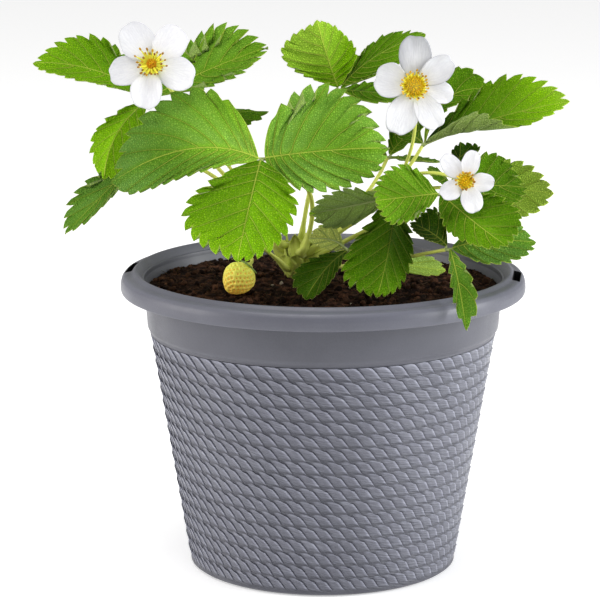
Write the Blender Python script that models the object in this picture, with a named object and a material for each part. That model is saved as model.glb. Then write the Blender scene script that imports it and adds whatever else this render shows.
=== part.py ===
"""Strawberry plant growing in a round plastic pot, modelled as separate solids.

The pot stands on z = 0 with its axis on Z.  +X is to the right and -Y to the front.
The leaves are trifoliate: each is a petiole that carries a middle, a left and a right leaflet.
"""
import math

import bmesh
import bpy
from mathutils import Matrix, Vector, noise

MM = 0.001
TOUCH_GAP = 0.0003          # clearance between pieces that touch

# Pot: one moulded shell with an overhanging rim.
POT_HEIGHT = 0.1488
POT_BASE_RADIUS = 0.065
POT_FLOOR = 0.0025
POT_SEGMENTS = 48
RIM_RADIUS = 0.100
RIM_INNER_RADIUS = 0.092
RIM_SKIRT_BOTTOM = 0.1385
RIM_SKIRT_WALL = 0.002
BAND_BOTTOM = 0.1207
BAND_RADIUS = 0.0869        # at its lower edge
BAND_TOP_RADIUS = 0.0882
BODY_TOP_RADIUS = 0.0859
BODY_FOOT_RADIUS = 0.0668
POT_WALL = 0.002
HANGER_SLOT = (0.0036, 0.023, 0.020)     # radial width, length, cutter height
HANGER_SLOT_RADIUS = 0.0957
HANGER_AXIS = math.radians(-6.5)
DRAIN_SLOT = (0.012, 0.0035, 0.010)
DRAIN_RADIUS = 0.045
DRAIN_COUNT = 6

# Soil: fills the pot to a little below the rim and rises gently around the crown.
SOIL_EDGE_Z = 0.1395
SOIL_MOUND = 0.0025
SOIL_MOUND_SPREAD = 0.030
SOIL_LUMPS = 0.0009
SOIL_RINGS = (0.080, 0.066, 0.050, 0.034, 0.018)

# Crown: the short woody stem that every petiole and stalk grows from.
CROWN_CENTRE = Vector((-0.013, 0.017))
CROWN_SEAT_RADIUS = 0.012   # flat place in the soil under the crown
CROWN_FOOT_Z = SOIL_EDGE_Z + SOIL_MOUND + TOUCH_GAP
CROWN_PROFILE = ((0.0058, 0.0), (0.0066, 0.003), (0.0062, 0.008), (0.0054, 0.013), (0.0036, 0.0165))
CROWN_SIDES = 14

STEM_POINTS = 11
LEAFLET_THICKNESS = 0.0008
LEAFLET_TEETH = 6           # on each side, besides the one at the tip
TEETH_START = 0.31          # station of the first notch along the midrib
TEETH_SPAN = 0.66
NOTCH_SHARE = 0.90          # of the reach at a tooth's point
LEAFLET_BASE_HALF = 0.0006
PETIOLE_TIP_RADIUS = 0.0009
MARGIN_SWEEP = 0.07         # how far the widest part is swept back along the midrib
LEAFLET_START = 0.00135      # from the petiole's end to the leaflet's base
RIB_STATIONS = (0.0, 0.15, 0.3, 0.5, 0.7, 0.86, 1.0)

# Each leaf: where its petiole leaves the crown (angle in degrees, height over the crown's
# foot in mm), a point that the petiole passes half way, and the petiole's end.  Each
# leaflet: the middle of its midrib, its tip, and the outermost points of its left and
# right halves, seen from base to tip with the upper face up.  All points are in mm.
# A fifth value over 1 makes a leaflet's outline fuller, more square at its base and tip.
LEAVES = {
    "leaf_1": {
        "leave": (-70, 12), "via": (-7, 2, 187), "junction": (-30, -38, 210), "radius": 1.3,
        "middle": ((-36, -60, 188), (-41, -72, 166), (-12, -50, 188), (-67, -50, 186), 1.2),
        "left": ((-65, -36, 214), (-102, -30, 197), (-76, -38, 197), (-62, -8, 240), 1.5),
        "right": ((1, -34, 213), (32, -25, 213), (-4, -2, 240), (-2, -38, 193), 1.5),
    },
    "leaf_2": {
        "leave": (178, 13), "via": (-51, 12, 196), "junction": (-85, 15, 232), "radius": 1.1,
        "middle": ((-113, 10, 246), (-142, 5, 250), (-117, -3, 242), (-113, 28, 261)),
        "left": ((-101, -2, 216), (-107, -12, 195), (-92, 2, 207), (-114, 6, 214)),
        "right": ((-55, 14, 246), (-27, 12, 257), (-56, 30, 265), (-47, 0, 242)),
    },
    "leaf_3": {
        "leave": (160, 9), "via": (-50, 20, 188), "junction": (-86, 14, 206), "radius": 1.1,
        "middle": ((-91, 36, 212), (-94, 60, 218), (-102, 34, 214), (-80, 44, 215)),
        "left": ((-106, 8, 187), (-127, -2, 166), (-111, -4, 178), (-122, 20, 186)),
        "right": ((-57, 30, 219), (-27, 32, 222), (-58, 46, 221), (-53, 20, 214)),
    },
    "leaf_4": {
        "leave": (75, 12), "via": (-5, 24, 190), "junction": (8, 35, 233), "radius": 1.1,
        "middle": ((26, 36, 249), (51, 30, 261), (29, 54, 257), (33, 20, 246)),
        "left": ((2, 35, 250), (-3, 42, 267), (-21, 38, 250), (14, 46, 253)),
        "right": ((26, 36, 231), (44, 38, 229), (26, 50, 235), (26, 22, 228)),
    },
    "leaf_5": {
        "leave": (10, 11.5), "via": (28, 16, 180), "junction": (50, 20, 208), "radius": 1.1,
        "middle": ((63, 44, 227), (85, 48, 231), (70, 56, 242), (70, 40, 225)),
        "left": ((41, 38, 213), (35, 48, 218), (38, 32, 209), (45, 50, 221)),
        "right": ((86, 12, 222), (121, 5, 231), (90, 38, 239), (98, -4, 221)),
    },
    "leaf_6": {
        "leave": (40, 10), "via": (17, 22, 176), "junction": (33, 35, 199), "radius": 1.0,
        "middle": ((41, 42, 207), (52, 44, 217), (38, 50, 216), (44, 34, 207)),
        "left": ((24, 42, 200), (15, 45, 201), (24, 38, 193), (24, 50, 208)),
        "right": ((46, 37, 198), (60, 38, 196), (48, 51, 197), (46, 24, 199)),
    },
    "leaf_7": {
        "leave": (-28, 8), "via": (27, -6, 172), "junction": (56, -32, 192), "radius": 1.1,
        "middle": ((71, -54, 182), (86, -70, 173), (90, -46, 190), (60, -58, 177), 1.2),
        "left": ((41, -42, 192), (24, -48, 191), (35, -52, 180), (39, -24, 205), 1.2),
        "right": ((78, -24, 194), (99, -18, 192), (83, -4, 207), (81, -36, 185)),
    },
    "leaf_8": {
        "leave": (20, 6), "via": (25, 27, 176), "junction": (66, 30, 184), "radius": 1.1,
        "middle": ((69, 42, 194), (70, 50, 204), (64, 46, 197), (80, 46, 201)),
        "left": ((59, 26, 191), (52, 22, 195), (57, 20, 189), (59, 32, 193)),
        "right": ((92, 26, 184), (115, 18, 183), (94, 36, 198), (95, 14, 171)),
    },
    "leaf_9": {
        "leave": (-38, 4), "via": (23, -14, 154), "junction": (60, -48, 168), "radius": 0.9,
        "middle": ((79, -45, 171), (102, -38, 169), (85, -32, 180), (81, -56, 162)),
        "left": ((51, -44, 175), (41, -41, 179), (48, -48, 173), (54, -36, 186)),
        "right": ((63, -76, 156), (66, -89, 137), (71, -86, 153), (59, -76, 153)),
    },
    "leaf_10": {
        "leave": (-45, 12), "via": (16, 1, 172), "junction": (35, -20, 189), "radius": 1.2,
        "middle": ((31, -46, 168), (25, -62, 147), (43, -40, 160), (9, -40, 158), 1.3),
        "left": ((14, -20, 184), (-7, -16, 179), (10, -31, 194), (9, -10, 171)),
        "right": ((42, -8, 186), (50, 2, 184), (44, 3, 191), (46, -6, 178)),
    },
    "leaf_11": {
        "leave": (-5, 4), "via": (2, 5, 153), "junction": (12, -10, 160), "radius": 1.0,
        "middle": ((1, -28, 154), (-9, -48, 143), (4, -32, 149), (-14, -30, 154)),
        "left": ((4, -6, 164), (-7, -2, 164), (3, -4, 172), (3, -9, 159)),
        "right": ((35, -8, 153), (60, -12, 150), (48, -2, 157), (47, -16, 149)),
    },
}

# Each flower: its centre and the way it faces, then its petals as (direction in degrees,
# length in mm) seen from the front, and its stalk as for a petiole.
FLOWERS = {
    "flower_1": {
        "centre": (-83, -10, 251), "facing": (-0.05, -0.94, 0.32),
        "petals": ((123, 23.5), (51, 23), (-20, 22.5), (-99, 22.5), (-165, 21.5)),
        "heart": 7.0, "leave": (215, 13.5), "via": (-47, 8, 199),
    },
    "flower_2": {
        "centre": (44, -6, 240), "facing": (0.05, -0.96, 0.22),
        "petals": ((88, 25), (34, 23), (-14, 20), (-61, 24), (-113, 25.5), (167, 20)),
        "heart": 8.0, "leave": (-2, 15), "via": (36, 8, 190),
    },
    "flower_3": {
        "centre": (67, -46, 200), "facing": (0.0, -0.96, 0.26),
        "petals": ((131, 16.5), (73, 15.5), (-3, 14), (-71, 16), (-148, 13.5)),
        "heart": 5.0, "leave": (-22, 15), "via": (34, -8, 194),
    },
}
COROLLA_THICKNESS = 0.0008
COROLLA_CUP = 3.0           # forward lift, in metres, for a radius of a metre squared
LOBE_STEPS = (-0.5, -0.34, -0.12, 0.12, 0.34)
LOBE_REACH = (0.5, 0.93, 1.0, 1.0, 0.93)
HEART_HEIGHT = 0.0042
HEART_GAP = 0.0005
STALK_RADIUS = 0.0009
SEPAL_COUNT = 5
STALK_SIDES = 2 * SEPAL_COUNT
FLOWER_CUP = 0.0026         # from the end of the stalk to the sepals
FLOWER_SEPAL_SHARE = 0.55   # of the longest petal

# Fruit: one unripe berry that lies on the soil, on a stalk that arches over from the crown.
FRUIT_CENTRE = Vector((-0.0415, -0.024, 0.1482))
FRUIT_RADIUS = 0.0076
FRUIT_LENGTH = 0.0156
FRUIT_AXIS = Vector((0.62, 0.25, 0.72)).normalized()     # towards its calyx
FRUIT_STALK_LEAVE = (235, 3.5)
FRUIT_STALK_VIA = Vector((-0.032, -0.004, 0.160))
FRUIT_CUP = 0.0022
FRUIT_SEPAL = 0.006

COLOURS = {
    "pot": ((0.13, 0.15, 0.18), 0.45),
    "soil": ((0.02, 0.012, 0.008), 0.95),
    "leaf": ((0.09, 0.27, 0.02), 0.5),
    "young_leaf": ((0.28, 0.42, 0.05), 0.5),
    "stem": ((0.35, 0.48, 0.10), 0.5),
    "crown": ((0.42, 0.42, 0.16), 0.6),
    "petal": ((0.85, 0.86, 0.88), 0.5),
    "heart": ((0.80, 0.52, 0.05), 0.6),
    "fruit": ((0.72, 0.55, 0.10), 0.4),
}


def clear_scene():
    for old in list(bpy.data.objects):
        bpy.data.objects.remove(old, do_unlink=True)


def material(name):
    found = bpy.data.materials.get(name)
    if found:
        return found
    colour, roughness = COLOURS[name]
    made = bpy.data.materials.new(name)
    made.use_nodes = True
    shader = made.node_tree.nodes["Principled BSDF"]
    shader.inputs["Base Color"].default_value = (*colour, 1.0)
    shader.inputs["Roughness"].default_value = roughness
    shader.inputs["Metallic"].default_value = 0.0
    return made


def place(name, data, colour, location=(0, 0, 0), rotation=None):
    data.materials.append(material(colour))
    piece = bpy.data.objects.new(name, data)
    piece.location = location
    if rotation:
        piece.rotation_euler = rotation
    bpy.context.collection.objects.link(piece)
    return piece


def solid_mesh(name, vertices, faces, sharp_degrees=50):
    """A mesh with its faces turned outwards, smooth but for its sharp edges."""
    mesh = bpy.data.meshes.new(name)
    mesh.from_pydata([tuple(v) for v in vertices], [], faces)
    shape = bmesh.new()
    shape.from_mesh(mesh)
    bmesh.ops.recalc_face_normals(shape, faces=shape.faces)
    shape.to_mesh(mesh)
    shape.free()
    mesh.shade_smooth()
    mesh.set_sharp_from_angle(angle=math.radians(sharp_degrees))
    return mesh


def ring_faces(start, count, next_start):
    """Quads between two closed rings of the same number of vertices."""
    return [(start + i, start + (i + 1) % count, next_start + (i + 1) % count, next_start + i)
            for i in range(count)]


def turned_mesh(name, profile, sides, shape_point=None):
    """Turn a profile of (radius, z) around Z.  A first or last radius of 0 closes to a point."""
    vertices = []
    starts = []
    for radius, z in profile:
        starts.append(len(vertices))
        if radius == 0:
            vertices.append(Vector((0, 0, z)))
            continue
        for i in range(sides):
            angle = 2 * math.pi * i / sides
            vertices.append(Vector((radius * math.cos(angle), radius * math.sin(angle), z)))
    if shape_point:
        vertices = [shape_point(v) for v in vertices]
    faces = []
    for row in range(len(profile) - 1):
        here, there = starts[row], starts[row + 1]
        if profile[row][0] == 0:
            faces += [(here, there + (i + 1) % sides, there + i) for i in range(sides)]
        elif profile[row + 1][0] == 0:
            faces += [(here + i, here + (i + 1) % sides, there) for i in range(sides)]
        else:
            faces += ring_faces(here, sides, there)
    return solid_mesh(name, vertices, faces)


def facing_frame(normal, up=Vector((0, 0, 1))):
    """Right, up and front axes of something that faces along normal."""
    front = Vector(normal).normalized()
    right = Vector(up).cross(front).normalized()
    return right, front.cross(right), front


# Pot

def pot_inner_radius(z):
    """Radius of the pot's inside between its floor and its shoulder."""
    if z > BAND_BOTTOM:
        share = (z - BAND_BOTTOM) / (RIM_SKIRT_BOTTOM - BAND_BOTTOM)
        return BODY_TOP_RADIUS - POT_WALL + share * (BAND_TOP_RADIUS - BODY_TOP_RADIUS)
    share = (z - POT_FLOOR) / (BAND_BOTTOM - POT_FLOOR)
    return BODY_FOOT_RADIUS - POT_WALL + share * (BODY_TOP_RADIUS - BODY_FOOT_RADIUS)


def pot_profile():
    under_rim = POT_HEIGHT - 0.0037
    outside = [
        (0, 0),
        (POT_BASE_RADIUS - 0.0015, 0),
        (POT_BASE_RADIUS, 0.0005),
        (POT_BASE_RADIUS + 0.0012, 0.0015),
        (BODY_FOOT_RADIUS, 0.0035),
        (BODY_TOP_RADIUS, BAND_BOTTOM - 0.0015),
        (BODY_TOP_RADIUS - 0.0006, BAND_BOTTOM - 0.0005),
        (BAND_RADIUS, BAND_BOTTOM),
        (BAND_TOP_RADIUS, RIM_SKIRT_BOTTOM),
        (BAND_TOP_RADIUS, under_rim),
    ]
    rim = [
        (RIM_RADIUS - RIM_SKIRT_WALL, under_rim),
        (RIM_RADIUS - RIM_SKIRT_WALL, RIM_SKIRT_BOTTOM),
        (RIM_RADIUS - 0.0004, RIM_SKIRT_BOTTOM),
        (RIM_RADIUS, RIM_SKIRT_BOTTOM + 0.0005),
        (RIM_RADIUS, POT_HEIGHT - 0.0034),
        (RIM_RADIUS - 0.0005, POT_HEIGHT - 0.0023),
        (RIM_RADIUS - 0.0017, POT_HEIGHT - 0.0017),
        (RIM_INNER_RADIUS + 0.0025, POT_HEIGHT - 0.0013),
        (RIM_INNER_RADIUS + 0.0006, POT_HEIGHT),
        (RIM_INNER_RADIUS, POT_HEIGHT),
        (RIM_INNER_RADIUS - 0.0012, POT_HEIGHT - 0.0014),
        (RIM_INNER_RADIUS - 0.0045, POT_HEIGHT - 0.0075),
    ]
    inside = [(pot_inner_radius(z), z) for z in (RIM_SKIRT_BOTTOM, BAND_BOTTOM, POT_FLOOR)]
    return outside + rim + inside + [(0, POT_FLOOR)]


def box_at(shape, size, centre, turn):
    spot = Matrix.Translation(centre) @ Matrix.Rotation(turn, 4, "Z") @ Matrix.Diagonal((*size, 1))
    bmesh.ops.create_cube(shape, size=1.0, matrix=spot)


def pot_cutter():
    """The two hanger slots through the rim and the drain slots through the floor."""
    shape = bmesh.new()
    for turn in (HANGER_AXIS, HANGER_AXIS + math.pi):
        outwards = Vector((math.cos(turn), math.sin(turn), 0))
        box_at(shape, HANGER_SLOT, outwards * HANGER_SLOT_RADIUS + Vector((0, 0, POT_HEIGHT)), turn)
    for i in range(DRAIN_COUNT):
        turn = 2 * math.pi * i / DRAIN_COUNT
        outwards = Vector((math.cos(turn), math.sin(turn), 0))
        box_at(shape, DRAIN_SLOT, outwards * DRAIN_RADIUS, turn)
    mesh = bpy.data.meshes.new("pot_slots")
    shape.to_mesh(mesh)
    shape.free()
    cutter = bpy.data.objects.new("pot_slots", mesh)
    cutter.hide_render = True
    cutter.display_type = "WIRE"
    bpy.context.collection.objects.link(cutter)
    return cutter


def build_pot():
    pot = place("pot", turned_mesh("pot", pot_profile(), POT_SEGMENTS), "pot")
    cut = pot.modifiers.new("slots", "BOOLEAN")
    cut.operation = "DIFFERENCE"
    cut.solver = "EXACT"
    cut.object = pot_cutter()


# Soil

def soil_height(x, y):
    away = (Vector((x, y)) - CROWN_CENTRE).length
    mound = SOIL_MOUND * math.exp(-((max(away - CROWN_SEAT_RADIUS, 0) / SOIL_MOUND_SPREAD) ** 2))
    lumps = SOIL_LUMPS * noise.noise(Vector((x, y, 0)) * 90)
    return SOIL_EDGE_Z + mound + lumps * min(1.0, max(0.0, away / CROWN_SEAT_RADIUS - 1.0))


def build_soil():
    wall = [(pot_inner_radius(z) - TOUCH_GAP, z)
            for z in (POT_FLOOR + TOUCH_GAP, BAND_BOTTOM, SOIL_EDGE_Z)]
    top = [(radius, SOIL_EDGE_Z + TOUCH_GAP) for radius in SOIL_RINGS]
    profile = [(0, wall[0][1])] + wall + top + [(0, SOIL_EDGE_Z + TOUCH_GAP)]

    def raise_top(point):
        if point.z > SOIL_EDGE_Z:
            point.z = soil_height(point.x, point.y)
        return point

    place("soil", turned_mesh("soil", profile, POT_SEGMENTS, raise_top), "soil")


# Crown and stems

def crown_radius(height):
    for (low_radius, low), (high_radius, high) in zip(CROWN_PROFILE, CROWN_PROFILE[1:]):
        if low <= height <= high:
            return low_radius + (high_radius - low_radius) * (height - low) / (high - low)
    return CROWN_PROFILE[-1][0]


def build_crown():
    profile = [(0, 0), *CROWN_PROFILE, (0, CROWN_PROFILE[-1][1] + 0.0012)]
    mesh = turned_mesh("crown", profile, CROWN_SIDES)
    place("crown", mesh, "crown", location=(*CROWN_CENTRE, CROWN_FOOT_Z))


def crown_start(leave, via, radius):
    """Centre of a stem's lower end, just clear of the crown's side, for a stem towards via."""
    angle = math.radians(leave[0])
    height = leave[1] * MM
    outwards = Vector((math.cos(angle), math.sin(angle), 0))
    surface = Vector((*CROWN_CENTRE, CROWN_FOOT_Z + height)) + outwards * crown_radius(height)
    lean = (via - surface).normalized().dot(outwards)
    return surface + outwards * (TOUCH_GAP + radius * math.sqrt(1 - lean * lean))


def arc_through(start, via, end, count):
    """Points of a smooth curve that passes via half way."""
    pull = 2 * via - (start + end) / 2
    return [start * (1 - t) ** 2 + pull * 2 * t * (1 - t) + end * t * t
            for t in (i / (count - 1) for i in range(count))]


def build_stem(name, points, start_radius, end_radius):
    curve = bpy.data.curves.new(name, "CURVE")
    curve.dimensions = "3D"
    curve.bevel_depth = 1.0
    curve.bevel_resolution = 1
    curve.use_fill_caps = True
    spline = curve.splines.new("POLY")
    spline.points.add(len(points) - 1)
    for i, point in enumerate(points):
        share = i / (len(points) - 1)
        spline.points[i].co = (*point, 1)
        spline.points[i].radius = start_radius + (end_radius - start_radius) * share
    place(name, curve, "stem")


# Leaflets

def half_reach(u, widest, fullness):
    """Share of the full half width at station u of a leaflet."""
    if u < widest:
        return math.sin(math.pi / 2 * u / widest) ** (1 / fullness)
    return max(0.0, 1 - ((u - widest) / (1 - widest)) ** 2.3) ** (0.65 / fullness)


def margin_stations():
    """Stations along a leaflet's margin with the share of the reach there: plain near the
    base, then a notch and a point for each tooth."""
    yield 0.14, 1.0
    yield 0.26, 1.0
    step = TEETH_SPAN / LEAFLET_TEETH
    for tooth in range(LEAFLET_TEETH):
        yield TEETH_START + step * tooth, NOTCH_SHARE
        yield TEETH_START + step * (tooth + 0.75), 1.0


def leaflet_half(rib, chord, outermost, fullness):
    """Margin of one half as (station, point), from near the base to near the tip."""
    base = rib(0)
    along = (outermost - base).dot(chord) / chord.length_squared
    widest = min(0.76, max(0.40, along + MARGIN_SWEEP))
    reach = outermost - rib(widest)
    edge = [(0.0, base + reach.normalized() * LEAFLET_BASE_HALF)]
    for u, share in margin_stations():
        edge.append((u, rib(u) + reach * half_reach(u, widest, fullness) * share))
    return edge


def stitch(vertices, rib_row, edge_row, faces, flip):
    """Triangles between the midrib and a margin, which share their last vertex."""
    i = 0
    j = 0
    while i < len(rib_row) - 1 or j < len(edge_row) - 1:
        rib_next = rib_row[i + 1][0] if i < len(rib_row) - 1 else math.inf
        edge_next = edge_row[j + 1][0] if j < len(edge_row) - 1 else math.inf
        if rib_next <= edge_next:
            corner = (rib_row[i][1], rib_row[i + 1][1], edge_row[j][1])
            i += 1
        else:
            corner = (rib_row[i][1], edge_row[j + 1][1], edge_row[j][1])
            j += 1
        if len(set(corner)) == 3:
            faces.append(corner[::-1] if flip else corner)


def build_leaflet(name, junction, ahead, points, colour):
    """A thin solid leaflet.  One that leans back along its petiole starts farther from it."""
    middle, tip, left, right = (Vector(p) * MM for p in points[:4])
    fullness = points[4] if len(points) > 4 else 1.0
    outwards = (middle - junction).normalized()
    base = junction + outwards * LEAFLET_START * (1 + max(0.0, -outwards.dot(ahead)))
    bow = middle - (base + tip) / 2
    chord = tip - base

    def rib(u):
        return base + chord * u + bow * 4 * u * (1 - u)

    vertices = [rib(u) for u in RIB_STATIONS]
    rib_row = [(u, i) for i, u in enumerate(RIB_STATIONS)]
    faces = []
    for outermost, flip in ((left, False), (right, True)):
        edge = leaflet_half(rib, chord, outermost, fullness)
        first = len(vertices)
        vertices += [point for _, point in edge]
        edge_row = [(u, first + i) for i, (u, _) in enumerate(edge)]
        edge_row.append((1.0, len(RIB_STATIONS) - 1))
        stitch(vertices, rib_row, edge_row, faces, flip)
    mesh = bpy.data.meshes.new(name)
    mesh.from_pydata([tuple(v) for v in vertices], [], faces)
    mesh.shade_smooth()
    leaflet = place(name, mesh, colour)
    thick = leaflet.modifiers.new("thickness", "SOLIDIFY")
    thick.thickness = LEAFLET_THICKNESS
    thick.offset = 0.0


def build_leaf(name, leaf):
    radius = leaf["radius"] * MM
    junction = Vector(leaf["junction"]) * MM
    via = Vector(leaf["via"]) * MM
    start = crown_start(leaf["leave"], via, radius)
    points = arc_through(start, via, junction, STEM_POINTS)
    build_stem(name + "_petiole", points, radius, PETIOLE_TIP_RADIUS)
    ahead = (points[-1] - points[-2]).normalized()
    colour = "young_leaf" if name == "leaf_11" else "leaf"
    for part in ("middle", "left", "right"):
        build_leaflet(f"{name}_{part}", junction, ahead, leaf[part], colour)


# Flowers

def corolla_outline(petals):
    """Polar outline of the joined petals: five or six lobes around the centre."""
    order = sorted(petals, key=lambda petal: petal[0] % 360)
    outline = []
    for i, (angle, length) in enumerate(order):
        before = (angle - order[i - 1][0]) % 360
        after = (order[(i + 1) % len(order)][0] - angle) % 360
        for step, reach in zip(LOBE_STEPS, LOBE_REACH):
            turn = angle + step * (before if step < 0 else after)
            outline.append((math.radians(turn), length * MM * reach))
    return outline


def build_corolla(name, frame, centre, petals):
    right, up, front = frame
    outline = corolla_outline(petals)
    count = len(outline)
    vertices = []
    for side in (-0.5, 0.5):
        for share in (0.45, 1.0):
            for turn, reach in outline:
                out = reach * share
                lift = side * COROLLA_THICKNESS + COROLLA_CUP * out * out
                sideways = right * math.cos(turn) + up * math.sin(turn)
                vertices.append(centre + sideways * out + front * lift)
    back_centre = len(vertices)
    vertices += [centre - front * COROLLA_THICKNESS / 2, centre + front * COROLLA_THICKNESS / 2]
    faces = []
    for side, middle in ((0, back_centre), (2 * count, back_centre + 1)):
        faces += [(middle, side + i, side + (i + 1) % count) for i in range(count)]
        faces += ring_faces(side, count, side + count)
    faces += ring_faces(count, count, 3 * count)
    place(name, solid_mesh(name, vertices, faces), "petal")


def build_heart(name, frame, centre, radius):
    """The dome of pistils with the ring of stamens around it."""
    right, up, front = frame
    rise = ((1.0, 0.0), (1.0, 0.35), (0.72, 0.7), (0.38, 0.95))
    profile = [(0, 0)] + [(radius * share, HEART_HEIGHT * height) for share, height in rise]
    profile.append((0, HEART_HEIGHT))
    turn = Matrix((right, up, front)).transposed()
    place(name, turned_mesh(name, profile, 12), "heart", location=centre, rotation=turn.to_euler())


def sweep_rings(name, rings, colour):
    """A closed solid through a row of rings, filled at both ends."""
    count = len(rings[0])
    vertices = [point for ring in rings for point in ring]
    faces = []
    for row in range(len(rings) - 1):
        faces += ring_faces(row * count, count, (row + 1) * count)
    ends = [(0, rings[0]), ((len(rings) - 1) * count, rings[-1])]
    for start, ring in ends:
        middle = len(vertices)
        vertices.append(sum(ring, Vector()) / count)
        faces += [(start + i, start + (i + 1) % count, middle) for i in range(count)]
    place(name, solid_mesh(name, vertices, faces), colour)


def star_ring(centre, frame, long_radius, short_radius):
    """A ring of points that reaches out at each sepal and in between them."""
    right, up, _ = frame
    ring = []
    for i in range(STALK_SIDES):
        angle = 2 * math.pi * i / STALK_SIDES
        radius = long_radius if i % 2 == 0 else short_radius
        ring.append(centre + (right * math.cos(angle) + up * math.sin(angle)) * radius)
    return ring


def build_stalk(name, points, frame, sepal, cup):
    """A round stalk that widens into the calyx at its end."""
    front = frame[2]
    end = points[-1]
    rings = []
    for i, point in enumerate(points[:-1]):
        ahead = points[i + 1] - (points[i - 1] if i else point)
        ring_frame = facing_frame(ahead, up=frame[1])
        rings.append(star_ring(point, ring_frame, STALK_RADIUS, STALK_RADIUS))
    rings.append(star_ring(end, frame, STALK_RADIUS * 1.15, STALK_RADIUS * 1.15))
    rings.append(star_ring(end + front * cup * 0.5, frame, sepal * 0.26, sepal * 0.24))
    rings.append(star_ring(end + front * (cup - 0.0008), frame, sepal * 0.55, sepal * 0.34))
    rings.append(star_ring(end + front * (cup - 0.0006), frame, sepal, sepal * 0.40))
    rings.append(star_ring(end + front * cup, frame, sepal * 0.98, sepal * 0.39))
    sweep_rings(name, rings, "stem")


def build_flower(name, flower):
    centre = Vector(flower["centre"]) * MM
    frame = facing_frame(flower["facing"])
    front = frame[2]
    build_corolla(name + "_petals", frame, centre, flower["petals"])
    heart_base = centre + front * (COROLLA_THICKNESS / 2 + HEART_GAP)
    build_heart(name + "_heart", frame, heart_base, flower["heart"] * MM)
    end = centre - front * (COROLLA_THICKNESS / 2 + TOUCH_GAP + FLOWER_CUP)
    via = Vector(flower["via"]) * MM
    start = crown_start(flower["leave"], via, STALK_RADIUS)
    points = arc_through(start, via, end, STEM_POINTS)
    sepal = FLOWER_SEPAL_SHARE * max(length for _, length in flower["petals"]) * MM
    build_stalk(name + "_stalk", points, frame, sepal, FLOWER_CUP)


# Fruit

def build_fruit():
    """A blunt ovoid berry, widest towards its calyx."""
    shares = ((0.0, 1.0), (0.45, 0.93), (0.80, 0.68), (1.0, 0.28), (0.97, -0.12), (0.78, -0.5),
              (0.50, -0.8), (0.0, -1.0))
    profile = [(FRUIT_RADIUS * across, FRUIT_LENGTH / 2 * along) for across, along in shares[::-1]]
    right, up, front = facing_frame(FRUIT_AXIS, up=Vector((0, 1, 0)))
    turn = Matrix((right, up, front)).transposed()
    mesh = turned_mesh("fruit", profile, 16)
    place("fruit", mesh, "fruit", location=FRUIT_CENTRE, rotation=turn.to_euler())
    end = FRUIT_CENTRE + FRUIT_AXIS * (FRUIT_LENGTH / 2 + FRUIT_CUP + TOUCH_GAP)
    start = crown_start(FRUIT_STALK_LEAVE, FRUIT_STALK_VIA, STALK_RADIUS)
    points = arc_through(start, FRUIT_STALK_VIA, end, STEM_POINTS)
    frame = facing_frame(-FRUIT_AXIS, up=Vector((0, 1, 0)))
    build_stalk("fruit_stalk", points, frame, FRUIT_SEPAL, FRUIT_CUP)


def main():
    clear_scene()
    build_pot()
    build_soil()
    build_crown()
    for name, leaf in LEAVES.items():
        build_leaf(name, leaf)
    for name, flower in FLOWERS.items():
        build_flower(name, flower)
    build_fruit()


main()
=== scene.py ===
"""Potted strawberry plant: the detailed pieces that stand around the packed model.

The file is laid out as an add-on and run as a script.  Each operator builds one piece or
one group of like pieces, and the panel in the sidebar lists them in their order.
"""
import math
import zlib

import bmesh
import bpy
import numpy as np
from bpy.props import FloatProperty, FloatVectorProperty, IntProperty, PointerProperty
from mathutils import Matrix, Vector, noise


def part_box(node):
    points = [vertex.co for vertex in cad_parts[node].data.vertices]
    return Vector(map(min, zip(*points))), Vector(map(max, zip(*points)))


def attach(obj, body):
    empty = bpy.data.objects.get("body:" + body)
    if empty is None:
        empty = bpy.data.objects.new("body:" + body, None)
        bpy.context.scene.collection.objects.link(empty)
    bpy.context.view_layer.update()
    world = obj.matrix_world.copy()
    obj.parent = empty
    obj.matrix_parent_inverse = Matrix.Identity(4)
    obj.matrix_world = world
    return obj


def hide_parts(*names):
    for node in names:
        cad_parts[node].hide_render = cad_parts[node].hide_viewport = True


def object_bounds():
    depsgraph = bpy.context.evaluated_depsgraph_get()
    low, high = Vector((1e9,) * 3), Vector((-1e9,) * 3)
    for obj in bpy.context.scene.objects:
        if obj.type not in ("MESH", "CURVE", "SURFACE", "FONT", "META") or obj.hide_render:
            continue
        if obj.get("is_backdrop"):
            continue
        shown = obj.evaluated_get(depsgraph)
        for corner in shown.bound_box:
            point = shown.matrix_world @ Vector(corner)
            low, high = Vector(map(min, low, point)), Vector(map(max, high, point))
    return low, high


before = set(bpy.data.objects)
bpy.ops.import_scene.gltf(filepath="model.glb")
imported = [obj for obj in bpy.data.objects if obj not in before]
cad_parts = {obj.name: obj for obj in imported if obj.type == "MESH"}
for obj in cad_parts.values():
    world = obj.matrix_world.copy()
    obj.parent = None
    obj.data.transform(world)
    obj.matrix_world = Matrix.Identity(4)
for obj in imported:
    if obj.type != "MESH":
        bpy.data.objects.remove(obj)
CAD_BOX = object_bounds()

bl_info = {
    "name": "Potted strawberry plant",
    "version": (1, 0, 0),
    "blender": (4, 5, 0),
    "location": "View3D > Sidebar > Strawberry",
    "description": "Builds the pot, soil, leaves, flowers and berry of a potted strawberry plant",
    "category": "Object",
}

MM = 0.001
BODY = "root"
POT_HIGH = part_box("pot")[1]
CROWN_LOW, CROWN_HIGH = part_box("crown")
CROWN_AXIS = (CROWN_LOW + CROWN_HIGH) / 2
CROWN_FOOT = Vector((CROWN_AXIS.x, CROWN_AXIS.y, CROWN_LOW.z))
GOLDEN_ANGLE = 2.39996          # the turn from one seed or pistil of a spiral to the next
FLOWERS = ("flower_1", "flower_2", "flower_3")
LEAF_COUNT = sum(name.endswith("_petiole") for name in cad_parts)
LEAFLET_PARTS = ("middle", "left", "right")


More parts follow.
